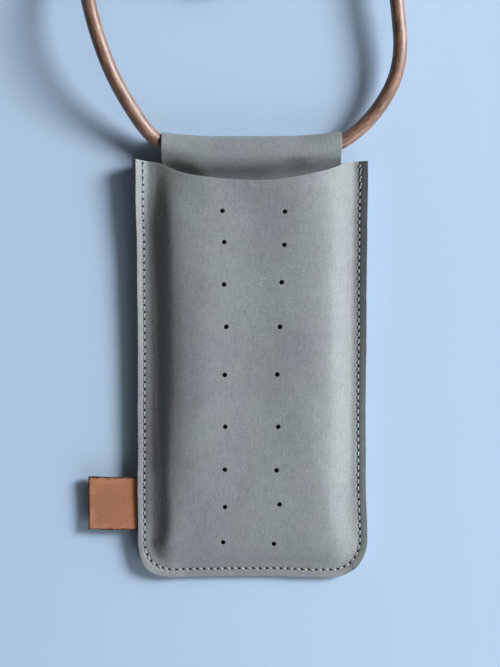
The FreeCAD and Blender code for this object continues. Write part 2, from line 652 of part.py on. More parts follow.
def stitch_row(label, stations, level, facing):
    """One side of a seam: a stitch at each station, lying on a face at one height that looks up or down."""
    stitches = []
    for x, y, heading in stations:
        stitch = one_stitch()
        if facing < 0:
            stitch.rotate(Vector(0, 0, 0), Vector(1, 0, 0), 180)
        lean = STITCH_LEAN * facing
        stitch.rotate(Vector(0, 0, 0), UP, heading + lean)
        stitch.translate(Vector(x, y, level))
        stitches.append(stitch)
    row = doc.addObject("Part::Feature", label)
    row.Shape = Part.makeCompound(stitches)
    return row


def cord_in_sleeve():
    """The straight stretch of cord inside its sleeve."""
    cylinder = doc.addObject("Part::Cylinder", "cord_in_sleeve")
    cylinder.setExpression("Radius", "Sizes.cord_diameter / 2")
    cylinder.setExpression("Height", "Sizes.sleeve_width - 2 * Sizes.cord_setback")
    cylinder.setExpression(".Placement.Base.x", "Sizes.cord_setback - Sizes.sleeve_width / 2")
    cylinder.setExpression(".Placement.Base.y", f"{HALF_HEIGHT} + Sizes.sleeve_rise - {ROLL_RADIUS}")
    cylinder.setExpression(".Placement.Base.z", ROLL_RADIUS)
    cylinder.Placement.Rotation = FreeCAD.Rotation(Vector(0, 1, 0), 90)
    return cylinder


def bent_route(name, points):
    """Straight runs through the points, joined by arcs; prints the bends' radii."""
    edges = []
    radii = []
    last = points[0]
    for before, corner, after in zip(points, points[1:], points[2:]):
        back = (before - corner).normalize()
        ahead = (after - corner).normalize()
        half_turn = (math.pi - back.getAngle(ahead)) / 2
        setback = BEND_SHARE * min((before - corner).Length, (after - corner).Length)
        radius = setback / math.tan(half_turn)
        middle = (back + ahead).normalize()
        nearest = corner + middle * (radius / math.cos(half_turn) - radius)
        start = corner + back * setback
        end = corner + ahead * setback
        edges.append(Part.LineSegment(last, start).toShape())
        edges.append(Part.Arc(start, nearest, end).toShape())
        radii.append(radius)
        last = end
    edges.append(Part.LineSegment(last, points[-1]).toShape())
    print(name, "bend radii, mm:", " ".join(f"{radius:.0f}" for radius in radii))
    return Part.Wire(edges)


def biarc(start, start_way, end, end_way):
    """Two arcs in one smooth line between two places, each left or reached in a given direction."""
    span = end - start
    ways = start_way + end_way
    slack = 2 * (1 - start_way.dot(end_way))
    along = span.dot(ways)
    reach = (math.sqrt(along ** 2 + slack * span.dot(span)) - along) / slack
    meet = (start + end + (start_way - end_way) * reach) * 0.5
    return [arc_from(start, start_way, meet), arc_from(end, end_way * -1, meet)]


def arc_from(start, way, end):
    """The arc that leaves one place in a given direction and reaches another."""
    chord = end - start
    along = chord.dot(way)
    side = chord - way * along
    half_turn = math.atan2(side.Length, along)
    bulge = chord.Length / 2 * math.tan(half_turn / 2)
    outward = (way * chord.Length - chord * (along / chord.Length)).normalize()
    return Part.Arc(start, start + chord * 0.5 + outward * bulge, end).toShape()


def coil_point(turn):
    """Middle of the cord after so many turns: in on the low layer, up inmost, out on the high one."""
    from_middle = turn - coil_turns / 2
    radius = size("coil_outer_radius") - coil_pitch * (coil_turns / 2 - abs(from_middle))
    climb = min(max(2 * from_middle + 0.5, 0.0), 1.0)
    smooth = climb * climb * (3 - 2 * climb)
    height = coil_low_z() + smooth * (size("cord_diameter") + size("coil_layer_gap"))
    angle = 2 * math.pi * turn
    return coil_centre + Vector(radius * math.sin(angle), radius * math.cos(angle), height)


def coil_low_z():
    """Height of the low layer, which lies on the strip that ties it."""
    return size("tie_leather") + size("tie_gap") + cord_radius


def coil_route():
    """The coil's line: a straight end, quarter turns by formula and a straight end."""
    quarters = 4 * coil_turns
    step = 1e-4
    places = [coil_point(index / 4) for index in range(quarters + 1)]
    ways = []
    for index in range(quarters + 1):
        ways.append((coil_point(index / 4 + step) - coil_point(index / 4 - step)).normalize())
    ways[0] = Vector(1, 0, 0)
    ways[-1] = Vector(1, 0, 0)
    straight = Vector(size("cord_diameter"), 0, 0)
    edges = [Part.LineSegment(places[0] - straight, places[0]).toShape()]
    for index in range(quarters):
        edges.extend(biarc(places[index], ways[index], places[index + 1], ways[index + 1]))
    edges.append(Part.LineSegment(places[-1], places[-1] + straight).toShape())
    return Part.Wire(edges)


def print_least_gap(wire):
    """Measures the coil's least gap to itself on points along it."""
    spacing = 1.5
    points = wire.discretize(Distance=spacing)
    apart = int(5 * size("cord_diameter") / spacing)
    least = min(
        (points[first] - points[second]).Length
        for first in range(len(points))
        for second in range(first + apart, len(points)))
    print(f"cord_coil least gap to itself, mm: {least - size('cord_diameter'):.2f}")


def cord_tube(label, wire):
    """A stretch of round cord along a line; prints how its volume compares with section times length."""
    spine = doc.addObject("Part::Feature", label + "_line")
    spine.Shape = wire
    section = doc.addObject("Part::Circle", label + "_section")
    section.setExpression("Radius", "Sizes.cord_diameter / 2")
    first = wire.OrderedEdges[0]
    section.Placement = FreeCAD.Placement(
        first.valueAt(first.FirstParameter), FreeCAD.Rotation(UP, first.tangentAt(first.FirstParameter)))
    tube = doc.addObject("Part::Sweep", label)
    tube.Sections = [section]
    tube.Spine = (spine, [f"Edge{index}" for index in range(1, len(wire.Edges) + 1)])
    tube.Solid = True
    tube.Frenet = False
    doc.recompute()
    ideal = math.pi * cord_radius ** 2 * wire.Length
    print(f"{label} length {wire.Length:.1f} mm, volume share {tube.Shape.Volume / ideal:.4f}")
    return tube


def free_stretch(side, bends, coil_end):
    """The hand-chosen line of one free stretch, from inside the sleeve to an end of the coil."""
    mouth_x = size("sleeve_width") / 2
    points = [Vector(side * (mouth_x - size("cord_setback")), cord_y, cord_z)]
    for outwards, along, up in bends:
        points.append(Vector(side * (mouth_x + outwards), cord_y + along, cord_z + up))
    points.append(coil_end + Vector(side * COIL_APPROACH, 0, 0))
    points.append(coil_end)
    return points


def coil_tie():
    """A strip of leather bound once round the coil on the side next to the pouch."""
    stack = "(round(Sizes.coil_layer_turns) - 1) * (Sizes.cord_diameter + Sizes.coil_turn_gap)"
    deep = f"{stack} + Sizes.cord_diameter + 2 * Sizes.tie_gap"
    tall = "2 * Sizes.cord_diameter + Sizes.coil_layer_gap + 2 * Sizes.tie_gap"
    middle_y = coil_centre.y - size("coil_outer_radius") + coil_pitch * coil_turns / 4
    strip = doc.addObject("Part::Box", "coil_tie_outside")
    strip.setExpression("Length", "Sizes.tie_width")
    strip.setExpression("Width", f"{deep} + 2 * Sizes.tie_leather")
    strip.setExpression("Height", f"{tall} + 2 * Sizes.tie_leather")
    inside = doc.addObject("Part::Box", "coil_tie_inside")
    inside.setExpression("Length", "3 * Sizes.tie_width")
    inside.setExpression("Width", deep)
    inside.setExpression("Height", tall)
    inside.setExpression(".Placement.Base.z", "Sizes.tie_leather")
    doc.recompute()
    for box in (strip, inside):
        box.Placement.Base.x = coil_centre.x - box.Length.Value / 2
        box.Placement.Base.y = middle_y - box.Width.Value / 2
    tie = doc.addObject("Part::Cut", "coil_tie")
    tie.Base = strip
    tie.Tool = inside
    return tie


def build():
    """Every piece of the pouch and its cord."""
    front_face = seam_z + leather
    back_face = seam_z - leather
    groove_z = size("thread_height") + size("flex_gap")
    straight = Vector(size("cord_diameter"), 0, 0)
    left = free_stretch(-1, LEFT_BENDS, coil_point(0) - straight)
    right = free_stretch(1, RIGHT_BENDS, coil_point(coil_turns) + straight)
    coil = coil_route()
    print_least_gap(coil)
    return [
        front_panel(),
        back_panel(),
        sleeve_tail(),
        cord_sleeve(),
        label_tail(),
        label_tab(),
        stitch_row("seam_stitches_front", seam_stations(), front_face, 1),
        stitch_row("seam_stitches_back", seam_stations(), back_face, -1),
        stitch_row("sleeve_stitches_inside", tail_stations(), 2 * leather, 1),
        stitch_row("sleeve_stitches_back", tail_stations(), groove_z, -1),
        cord_in_sleeve(),
        cord_tube("cord_left", bent_route("cord_left", left)),
        cord_tube("cord_right", bent_route("cord_right", right)),
        cord_tube("cord_coil", coil),
        coil_tie(),
    ]


pieces = build()
doc.recompute()
for item in doc.Objects:
    if "Invalid" in item.State or "Error" in item.State:
        raise RuntimeError(f"{item.Label} did not build: {item.State}")
os.makedirs("parts", exist_ok=True)
for piece in pieces:
    if piece.Shape.isNull() or not piece.Shape.isValid():
        raise RuntimeError(f"{piece.Label} has no sound shape")
for piece in pieces:
    piece.Shape.exportStep(f"parts/{piece.Label}.step")
    print(f"{piece.Label}: {len(piece.Shape.Solids)} solids, {piece.Shape.Volume:.0f} mm3")
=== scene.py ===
import math

import bpy
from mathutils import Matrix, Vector, noise


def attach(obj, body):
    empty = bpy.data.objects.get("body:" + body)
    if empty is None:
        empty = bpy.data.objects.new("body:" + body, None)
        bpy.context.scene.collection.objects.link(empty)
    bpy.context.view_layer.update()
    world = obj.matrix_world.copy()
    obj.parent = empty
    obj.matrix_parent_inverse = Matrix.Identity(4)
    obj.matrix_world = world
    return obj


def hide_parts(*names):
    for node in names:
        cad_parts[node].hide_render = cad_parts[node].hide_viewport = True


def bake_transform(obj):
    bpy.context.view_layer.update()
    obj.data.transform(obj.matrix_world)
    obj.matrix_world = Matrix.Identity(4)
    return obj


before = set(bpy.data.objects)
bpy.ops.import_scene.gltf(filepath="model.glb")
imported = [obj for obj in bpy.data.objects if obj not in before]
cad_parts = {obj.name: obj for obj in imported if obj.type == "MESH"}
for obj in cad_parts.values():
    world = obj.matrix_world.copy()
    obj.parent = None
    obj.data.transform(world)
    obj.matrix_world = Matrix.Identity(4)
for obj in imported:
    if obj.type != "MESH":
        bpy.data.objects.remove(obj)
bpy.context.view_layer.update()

MM = 0.001

# the pouch's flat pattern, in millimetres
HALF_WIDTH = 48.0
HALF_HEIGHT = 87.0
CORNER = 16.0
LEATHER = 1.8
SEAM_LEVEL = 4.2
STITCH_INSET = 3.2
STITCH_PITCH = 2.95
STITCH_START = 2.6
STITCH_CORNER = CORNER - STITCH_INSET
SLEEVE_HALF = 37.75
TAIL_HALF = 32.0
TONGUE_START = 81.9
TONGUE_SLIT = SLEEVE_HALF + 0.4
TAIL_STITCHES = 74.9
CORD_Y = 92.8
CORD_Z = 5.7
CORD_RADIUS = 3.0
EDGE_BREAK = 0.22

# the seam's lengths: down one side, round one corner, along the bottom, and all together
SIDE_RUN = 2 * HALF_HEIGHT - STITCH_START - CORNER
CORNER_RUN = math.pi / 2 * STITCH_CORNER
BASE_RUN = 2 * (HALF_WIDTH - CORNER)
SEAM_RUN = 2 * SIDE_RUN + 2 * CORNER_RUN + BASE_RUN

# the punched holes, left and right column from the mouth down
PUNCHED = (
    (-12.1, 65.9), (-11.36, 52.89), (-11.41, 35.25), (-10.46, 17.66), (-11.1, -2.3),
    (-10.94, -23.86), (-11.09, -41.75), (-11.04, -57.39), (-11.9, -72.5),
    (13.9, 65.5), (13.66, 51.69), (12.52, 36.15), (11.83, 17.66), (10.7, -2.1),
    (11.07, -23.86), (10.38, -42.05), (11.64, -56.29), (9.4, -73.2),
)
PUNCH_RADIUS = 0.98
PUNCH_LENGTH = 17.0
PUNCH_LEVEL = 13.5


def put_down():
    if bpy.context.mode != "OBJECT":
        bpy.ops.object.mode_set(mode="OBJECT")
    bpy.ops.object.select_all(action="DESELECT")


def take_up(piece):
    put_down()
    piece.select_set(True)
    bpy.context.view_layer.objects.active = piece


def name_piece(name):
    piece = bpy.context.object
    piece.name = name
    piece.data.name = name
    return piece


def lay_grid(name, columns, rows):
    put_down()
    bpy.ops.mesh.primitive_grid_add(x_subdivisions=columns, y_subdivisions=rows, size=1)
    return name_piece(name)


def join_up(pieces, name):
    put_down()
    for piece in pieces:
        piece.select_set(True)
    bpy.context.view_layer.objects.active = pieces[0]
    bpy.ops.object.join()
    bpy.ops.object.transform_apply(location=True, rotation=True, scale=True)
    return name_piece(name)


def finish_with(piece, kind, **settings):
    take_up(piece)
    modifier = piece.modifiers.new(kind.lower(), kind)
    for setting, value in settings.items():
        setattr(modifier, setting, value)
    bpy.ops.object.modifier_apply(modifier=modifier.name)


def break_edges(piece, width):
    finish_with(piece, "BEVEL", width=width * MM, segments=2, limit_method="ANGLE",
                angle_limit=math.radians(50))


def shade_by_angle(piece, degrees):
    take_up(piece)
    bpy.ops.object.shade_smooth_by_angle(angle=math.radians(degrees))


def smooth(value, start, end):
    share = min(1.0, max(0.0, (value - start) / (end - start)))
    return share * share * (3 - 2 * share)


def mix(first, second, share):
    return first + (second - first) * share


def hump(value, middle, width):
    """1 at the middle, falling away softly on both sides."""
    return math.exp(-((value - middle) / width) ** 2)


def along(table, place):
    """Reads a smooth line through the table's points."""
    if place <= table[0][0]:
        return table[0][1]
    if place >= table[-1][0]:
        return table[-1][1]
    for number in range(len(table) - 1):
        start, end = table[number], table[number + 1]
        if place <= end[0]:
            break
    before = table[max(number - 1, 0)]
    after = table[min(number + 2, len(table) - 1)]
    length = end[0] - start[0]
    leave = (end[1] - before[1]) / (end[0] - before[0]) * length
    arrive = (after[1] - start[1]) / (after[0] - start[0]) * length
    step = (place - start[0]) / length
    bend = step * step * (3 - 2 * step)
    return mix(start[1], end[1], bend) + leave * step * (1 - step) ** 2 - arrive * step * step * (1 - step)


# camera and light, in metres

CAMERA_PLACE = (-0.0006, 0.0149, 0.607)
CAMERA_LENS = 77.1
LIGHT_AIM = (0, 0.02, 0)

# each light's name, place, size, watts and colour
LIGHTS = (
    ("window_light", (2.16, 0.87, 1.45), 0.95, 79, (0.99, 0.995, 1.0)),
    ("sky_light", (2.0, 0.6, 0.82), 1.9, 30, (0.99, 0.995, 1.0)),
    ("room_light", (1.0, -1.2, 0.65), 1.4, 13, (0.97, 0.995, 1.02)),
    ("far_light", (0.15, -1.5, 0.6), 0.9, 2.4, (1.0, 0.985, 0.97)),
    ("back_light", (-0.1, 1.6, 0.75), 0.9, 1.8, (1.0, 0.99, 0.97)),
)
ROOM_COLOUR = (1.0, 0.94, 0.85, 1)
ROOM_STRENGTH = 0.035


def set_camera():
    put_down()
    bpy.ops.object.camera_add(location=CAMERA_PLACE, rotation=(0, 0, 0))
    camera = bpy.context.object
    camera.name = "camera"
    camera.data.lens = CAMERA_LENS
    camera.data.sensor_width = 36
    camera.data.clip_start = 0.01
    camera.data.clip_end = 20
    bpy.context.scene.camera = camera


def set_light():
    scene = bpy.context.scene
    scene.view_settings.view_transform = "Standard"
    for name, place, size, energy, colour in LIGHTS:
        put_down()
        bpy.ops.object.light_add(type="AREA", location=place)
        lamp = bpy.context.object
        lamp.name = name
        lamp.data.shape = "DISK"
        lamp.data.size = size
        lamp.data.energy = energy
        lamp.data.color = colour
        aim = Vector(LIGHT_AIM) - lamp.location
        lamp.rotation_euler = aim.to_track_quat("-Z", "Y").to_euler()
    world = bpy.data.worlds.new("studio")
    world.use_nodes = True
    background = world.node_tree.nodes["Background"]
    background.inputs["Color"].default_value = ROOM_COLOUR
    background.inputs["Strength"].default_value = ROOM_STRENGTH
    scene.world = world


# the neck cord's route, from the middle of the sleeve out of its left mouth, round the coil and back

CORD_LEFT = (
    (-0.5, 92.8, 5.7), (-24, 92.8, 5.7), (-33.5, 92.9, 5.7), (-42, 97.2, 7.0), (-50.8, 109.3, 12.4),
    (-58.8, 124, 17.4), (-65, 142, 19.8), (-69, 160, 18.6), (-70, 190, 10.5), (-58, 228, 5.2),
    (-31, 247, 4.3), (-9, 247, 4.3),
)
CORD_RIGHT = (
    (3, 247, 10.8), (25, 247, 10.8), (52, 228, 11.4), (61.5, 192, 12.5), (59.2, 166, 12), (61.4, 147, 10.8),
    (62.6, 133, 10.2), (59.8, 119.5, 8.9), (51.5, 106.5, 7.4), (42.5, 98.2, 6.2), (34, 93.2, 5.8),
    (24, 92.8, 5.7), (0.5, 92.8, 5.7),
)
COIL_MIDDLE = (-3.0, 206.0)
COIL_RADIUS = 41.0
COIL_STEP = 6.75
COIL_TURNS = 4
COIL_POINTS = 16
COIL_LOW = 4.3
COIL_HIGH = 10.8


def coil_route():
    """Half of the turns wind inwards low down, the other half outwards on top of them."""
    points = []
    outside = 1 / math.cos(math.pi / COIL_POINTS)
    half = COIL_TURNS / 2
    for count in range(COIL_TURNS * COIL_POINTS + 1):
        turn = count / COIL_POINTS
        angle = 2 * math.pi * turn
        radius = (COIL_RADIUS - COIL_STEP * (half - abs(turn - half))) * outside
        x = COIL_MIDDLE[0] + radius * math.sin(angle)
        y = COIL_MIDDLE[1] + radius * math.cos(angle)
        points.append((x, y, mix(COIL_LOW, COIL_HIGH, smooth(turn, half - 0.25, half + 0.25))))
    return points


def make_neck_cord():
    put_down()
    line = bpy.data.curves.new("neck_cord", "CURVE")
    line.dimensions = "3D"
    spline = line.splines.new("NURBS")
    route = list(CORD_LEFT) + coil_route() + list(CORD_RIGHT)
    spline.points.add(len(route) - 1)
    for point, place in zip(spline.points, route):
        point.co = (place[0] * MM, place[1] * MM, place[2] * MM, 1)
    spline.order_u = 3
    spline.use_endpoint_u = True
    line.resolution_u = 6
    cord = bpy.data.objects.new("neck_cord", line)
    bpy.context.scene.collection.objects.link(cord)
    centre = bpy.data.meshes.new_from_object(cord)
    path = [tuple(vertex.co) for vertex in centre.vertices]
    line.bevel_depth = CORD_RADIUS * MM
    line.bevel_resolution = 6
    line.use_fill_caps = True
    take_up(cord)
    bpy.ops.object.convert(target="MESH")
    bpy.ops.object.shade_smooth()
    return cord, path


set_camera()
set_light()
neck_cord, cord_path = make_neck_cord()
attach(neck_cord, "neck_cord")
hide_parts("cord_in_sleeve", "cord_left", "cord_right", "cord_coil")

# the pressed leather: how far in from the sewn edge a place lies, and how the leather stands there


def from_side(x):
    return HALF_WIDTH - abs(x)


def from_bottom(y):
    return HALF_HEIGHT + y


def inset_round(x, y, corner):
    side = max(0.0, corner - from_side(x))
    bottom = max(0.0, corner - from_bottom(y))
    return corner - math.hypot(side, bottom)


def bottom_share(x, y):
    """From 0 where the side seam is the nearer one to 1 where the bottom seam is."""
    side = max(0.01, from_side(x))
    bottom = max(0.01, from_bottom(y))
    return smooth(side / (side + bottom), 0.45, 0.7)


def wander(x, y, size, seed):
    """A soft, even swing about 0, with bumps of about the given size."""
    return noise.noise(Vector((x / size + seed, y / size - 2.3 * seed, 0.37 * seed)))


# how far from the pouch's middle the edges start to stray
SIDE_START = 18.0
BOTTOM_START = 50.0

# how far the left edge strays inwards, how far outwards again at the mouth, and its row of stitches outwards
LEFT_IN = 0.25
LEFT_OUT = 0.7
LEFT_ROW_OUT = 0.55

# how far the right edge strays outwards, from the bottom to the mouth
RIGHT_STRAY = ((-87, 0.8), (-74, 0.9), (-55, 0.25), (-13, 0), (29, 0.4), (58, 0.5), (73, 0.85), (87, 0.8))

# how far the bottom edge strays downwards, from the left to the right
BOTTOM_STRAY = (
    (-48, 2.2), (-43.5, 2.7), (-40, 2.1), (-36.8, 1.4), (-30, 0.9), (-16.6, 0.8), (-6.5, 0.65), (3.6, 0.45),
    (13.7, 0.55), (20, 1.0), (27, 1.25), (33.8, 1.35), (37.2, 1.7), (43.9, 2.0), (48, 1.8),
)


def settle(x, y, seed=0.0):
    """Where a place of the flat pattern lies on the pouch, whose edges stray a little."""
    left = smooth(-x, SIDE_START, HALF_WIDTH)
    right = smooth(x, SIDE_START, HALF_WIDTH)
    low = smooth(-y, BOTTOM_START, HALF_HEIGHT)
    high = smooth(y, 25, 80)
    shift = left * (LEFT_IN - LEFT_OUT * high) + right * along(RIGHT_STRAY, y)
    row = smooth(from_side(x), 0, STITCH_INSET) * (1 - smooth(from_side(x), STITCH_INSET, 10))
    shift -= LEFT_ROW_OUT * row * left
    shift += (left + right) * (0.22 * wander(0, y, 11, 1.7 + seed) + 0.1 * wander(0, y, 3.5, 4.1 + seed))
    drop = low * (0.3 * wander(x, 0, 26, 6.2) + 0.12 * wander(x, 0, 7, 3.3 + seed) - along(BOTTOM_STRAY, x))
    return x + shift, y + drop


# how far the sewn edge turns up, from the bottom to the mouth, and along the bottom
CURL_LEFT = ((-87, 0.2), (-40, 0.55), (0, 1.0), (40, 1.95), (62, 3.0), (87, 4.8))
CURL_RIGHT = ((-87, 0.8), (-40, 1.15), (0, 1.7), (40, 2.25), (87, 2.5))
CURL_BOTTOM = -0.1
CURL_WIDTH = 5.0

# how far the two leathers part round the label, and where that starts and ends
LABEL_PART = 0.6
LABEL_PART_LOW = (-72, -67.5)
LABEL_PART_HIGH = (-46.5, -42)

# how far the sewn edge comes down along the bottom
EDGE_SINK = 2.3

# how the front swells, by the distance in from the edge
LEFT_RISE = (
    (3.8, 0), (5.6, 0.13), (7, 0.4), (8.5, 1.05), (10.1, 2.25), (11.7, 3.65), (13.5, 5.05), (15.1, 6.0),
    (16.8, 6.7), (19.5, 7.55), (24, 8.35), (28, 8.75), (32, 8.85),
)
LEFT_LOW_RISE = (
    (1.5, 0), (3.5, 0.15), (5, 0.5), (6.5, 1.1), (7.8, 1.7), (9.2, 2.35), (10.5, 3.25), (11.9, 4.3),
    (13.5, 5.15), (15.8, 5.8), (19, 6.4), (23.5, 6.9), (27.5, 7.1), (31, 7.15),
)
LEFT_HIGH_RISE = (
    (4.8, 0), (6.5, 0.12), (7.8, 0.45), (8.9, 1.25), (10.4, 3.0), (12, 4.75), (13.3, 5.8), (14.9, 6.65),
    (16.8, 7.2), (19, 7.6), (24, 8.0), (30, 8.25),
)
LEFT_MOUTH_RISE = (
    (5.2, 0), (6.4, 0.1), (8, 0.5), (10, 1.3), (12, 2.1), (14, 2.85), (16, 3.5), (19, 4.35), (23, 5.2),
    (27, 5.8), (31, 6.1),
)
LEFT_CORNER_RISE = (
    (2.6, 0), (4, 0.2), (5.5, 0.7), (6.8, 1.3), (8.3, 2.15), (9.9, 3.05), (11.5, 3.65), (13.5, 4.05),
    (17, 4.25), (22, 4.6), (28, 4.9),
)
RIGHT_RISE = (
    (4.2, 0), (5.9, 0.25), (7.6, 1.1), (9.2, 2.5), (10.9, 4.3), (12.6, 5.85), (14.3, 6.85), (16, 7.45),
    (17.6, 7.85), (19.3, 8.15), (23, 8.55), (28, 8.8),
)
RIGHT_LOW_RISE = (
    (4.2, 0), (5.9, 0.2), (7.6, 0.7), (9.2, 1.5), (10.9, 2.6), (12.6, 3.7), (14.3, 4.65), (16, 5.4),
    (19.3, 6.25), (23, 6.8), (28, 7.1),
)
RIGHT_MOUTH_RISE = (
    (4, 0), (5.5, 0.25), (7, 0.8), (9, 1.9), (11, 3.1), (14, 4.8), (17, 6.15), (21, 7.35), (25, 7.85),
    (28, 8.05),
)
RIGHT_CORNER_RISE = (
    (4, 0), (6, 0.3), (8, 0.75), (10, 1.25), (12, 1.75), (15, 2.4), (20, 3.3), (26, 4.1), (28, 4.3),
)
BOTTOM_RISE = (
    (3, 0), (4, 0.2), (5.5, 0.55), (7, 0.9), (8.5, 1.25), (10.5, 1.75), (13, 2.5), (16, 3.4), (20, 4.5),
    (25, 5.6), (32, 6.7), (40, 7.5), (50, 8.4), (60, 9.4), (75, 11), (90, 12.5),
)

# the left slope is drawn in beside the label, the front sags along its middle and is dented at one corner
DRAW = 0.6
DRAW_PLACE = -62
SAG = 1.1
SAG_PLACE = -0.5
DENT = 1.2
DENT_PLACE = (-42, -71)


def edge_curl(x, y):
    """How far the sewn edge turns up outside the stitches."""
    side = along(CURL_LEFT if x < 0 else CURL_RIGHT, y)
    lift = mix(side, CURL_BOTTOM, bottom_share(x, y))
    return lift * max(0.0, 1 - inset_round(x, y, CORNER) / CURL_WIDTH) ** 1.25


def label_swell(x, y):
    """The two leathers part round the label that is held between them."""
    across = smooth(y, *LABEL_PART_LOW) * (1 - smooth(y, *LABEL_PART_HIGH))
    return LABEL_PART * across * (1 - smooth(from_side(x), 4.6, 11)) if x < 0 else 0.0


def sink(x, y):
    """The sewn edge comes down to the table along the bottom."""
    return EDGE_SINK * smooth(-y, 55, 86) * (1 - 0.65 * smooth(-x, 26, 46))


def edge_rumple(x, y):
    """Small unevenness of the sewn edge, the same in both leathers."""
    return 0.12 * wander(x, y, 9, 7.7) + 0.05 * wander(x, y, 3, 1.3)


def lesser(first, second, reach):
    """The lower of two heights, with a soft turn from one to the other."""
    near = max(0.0, 1 - abs(first - second) / reach)
    return min(first, second) - reach / 4 * near * near


def swell(x, y):
    """How far the front stands above its sewn edge."""
    near = inset_round(x, y, CORNER)
    clear = smooth(near, 6, 16)
    inset = mix(near, from_side(x), clear)
    low = smooth(-y, 0, 62)
    draw = DRAW * hump(y, DRAW_PLACE, 8)
    left = mix(along(LEFT_RISE, inset), along(LEFT_LOW_RISE, inset - draw), low)
    left = mix(left, along(LEFT_HIGH_RISE, inset), smooth(y, 22, 60))
    left = mix(left, along(LEFT_CORNER_RISE, inset), smooth(-y, 66, 79))
    left = mix(left, along(LEFT_MOUTH_RISE, inset), smooth(y, 60, 88))
    right = mix(along(RIGHT_RISE, inset), along(RIGHT_LOW_RISE, inset), low)
    right = mix(right, along(RIGHT_CORNER_RISE, inset), smooth(-y, 58, 76))
    right = mix(right, along(RIGHT_MOUTH_RISE, inset), smooth(y, 52, 88))
    side = mix(left, right, smooth(x, -16, 16))
    bottom = along(BOTTOM_RISE, mix(near, from_bottom(y), clear))
    sag = SAG * hump(x, SAG_PLACE, 16) * smooth(y, -62, -20) * (1 - smooth(y, 62, 84))
    dent = DENT * smooth(near, 2, 7) * hump(x, DENT_PLACE[0], 5) * hump(y, DENT_PLACE[1], 8)
    return lesser(side, bottom, 1.6) - sag - dent


def front_height(x, y):
    """The outer face of the front leather."""
    inset = inset_round(x, y, CORNER)
    row = 0.3 * hump(inset, STITCH_INSET, 0.75)
    body = smooth(inset, 5, 16)
    rumple = body * (0.22 * wander(x, y, 34, 2.2) + 0.1 * wander(x, y, 13, 5.4) + 0.03 * wander(x, y, 4, 9.1))
    flange = (1 - body) * edge_rumple(x, y)
    level = SEAM_LEVEL - sink(x, y) * (1 - smooth(inset, 3, 14))
    return level + LEATHER + swell(x, y) - row + rumple + flange + edge_curl(x, y) + label_swell(x, y)


def back_height(x, y):
    """The inner face of the back leather."""
    foot = inset_round(x, y, 24.0)
    level = SEAM_LEVEL - sink(x, y)
    drop = (level - LEATHER) * smooth(foot, 4.4, 10.4)
    flange = (1 - smooth(foot, 5, 14)) * edge_rumple(x, y)
    return level - drop + flange + edge_curl(x, y) - label_swell(x, y)


# the scooped mouth, across the front, and the height from which the front is drawn to it
SCOOP = (
    (-48, 87.8), (-44.5, 87.6), (-40.4, 87.0), (-38.3, 86.3), (-29.6, 82.4), (-21.3, 80.6), (-11, 79.4),
    (-0.6, 78.8), (9.8, 78.9), (20.1, 80.4), (28.4, 82.4), (34.6, 84.5), (39.1, 86.7), (41, 87.1),
    (44.5, 87.3), (48, 87.3),
)
SCOOP_START = 56.0

# both panels' grid, with this many rows close together along the seam
PANEL_COLUMNS = 122
PANEL_ROWS = 176
CLOSE_ROWS = 32


def spaced(share, total, rows):
    """Places rows close together within a corner's width of the start and wider apart after it."""
    row = share * rows
    if row <= CLOSE_ROWS:
        return CORNER * row / CLOSE_ROWS
    return CORNER + (total - CORNER) * (row - CLOSE_ROWS) / (rows - CLOSE_ROWS)


def to_round_corner(x, y):
    """Bends the square corner of the grid to the pattern's round one."""
    side = (abs(x) - (HALF_WIDTH - CORNER)) / CORNER
    bottom = (-y - (HALF_HEIGHT - CORNER)) / CORNER
    if side <= 0 or bottom <= 0:
        return x, y
    out = CORNER * side * math.sqrt(1 - bottom * bottom / 2)
    down = CORNER * bottom * math.sqrt(1 - side * side / 2)
    return math.copysign(HALF_WIDTH - CORNER + out, x), -(HALF_HEIGHT - CORNER) - down


def lay_pattern(piece):
    """Turns an even grid into the flat pattern, closer meshed near the seam."""
    places = []
    for vertex in piece.data.vertices:
        across = min(1.0, abs(vertex.co.x) * 2)
        half = HALF_WIDTH - spaced(1 - across, HALF_WIDTH, PANEL_COLUMNS / 2)
        x = math.copysign(half, vertex.co.x)
        y = spaced(vertex.co.y + 0.5, 2 * HALF_HEIGHT, PANEL_ROWS) - HALF_HEIGHT
        places.append(to_round_corner(x, y))
    return places


def seam_place(x, y):
    """Stitches counted along the seam from the left end of the mouth, and the distance in from the edge."""
    side = abs(x) - (HALF_WIDTH - CORNER)
    low = -y - (HALF_HEIGHT - CORNER)
    if side > 0 and low > 0:
        run = SIDE_RUN + math.atan2(low, side) * STITCH_CORNER
    elif from_side(x) < from_bottom(y):
        run = HALF_HEIGHT - STITCH_START - y
    else:
        run = SIDE_RUN + CORNER_RUN + (HALF_WIDTH - CORNER) - abs(x)
    if x > 0:
        run = SEAM_RUN - run
    return run / STITCH_PITCH, inset_round(x, y, CORNER)


def mark_seam(piece, places):
    """Keeps each place along the seam as a map, which the needle holes are drawn by."""
    marks = piece.data.uv_layers.new(name="seam")
    for loop in piece.data.loops:
        marks.data[loop.index].uv = seam_place(*places[loop.vertex_index])


def give_leather(piece, offset):
    """Gives a sheet the leather's thickness, with a finish of its own on the cut edge."""
    piece.data.materials.append(pouch_leather)
    piece.data.materials.append(cut_edge)
    finish_with(piece, "SOLIDIFY", thickness=LEATHER * MM, offset=offset, use_even_offset=True,
                material_offset_rim=1)


def square_rim(piece, places):
    """Trims the right sewn edge upright, as one cut through both leathers leaves it."""
    count = len(places)
    vertices = piece.data.vertices
    for number, (x, y) in enumerate(places):
        upright = smooth(x, 20, 40) * (1 - smooth(inset_round(x, y, CORNER), 1, 6))
        upper, lower = vertices[number].co, vertices[number + count].co
        lower.x = mix(lower.x, upper.x, upright)
        lower.y = mix(lower.y, upper.y, upright)


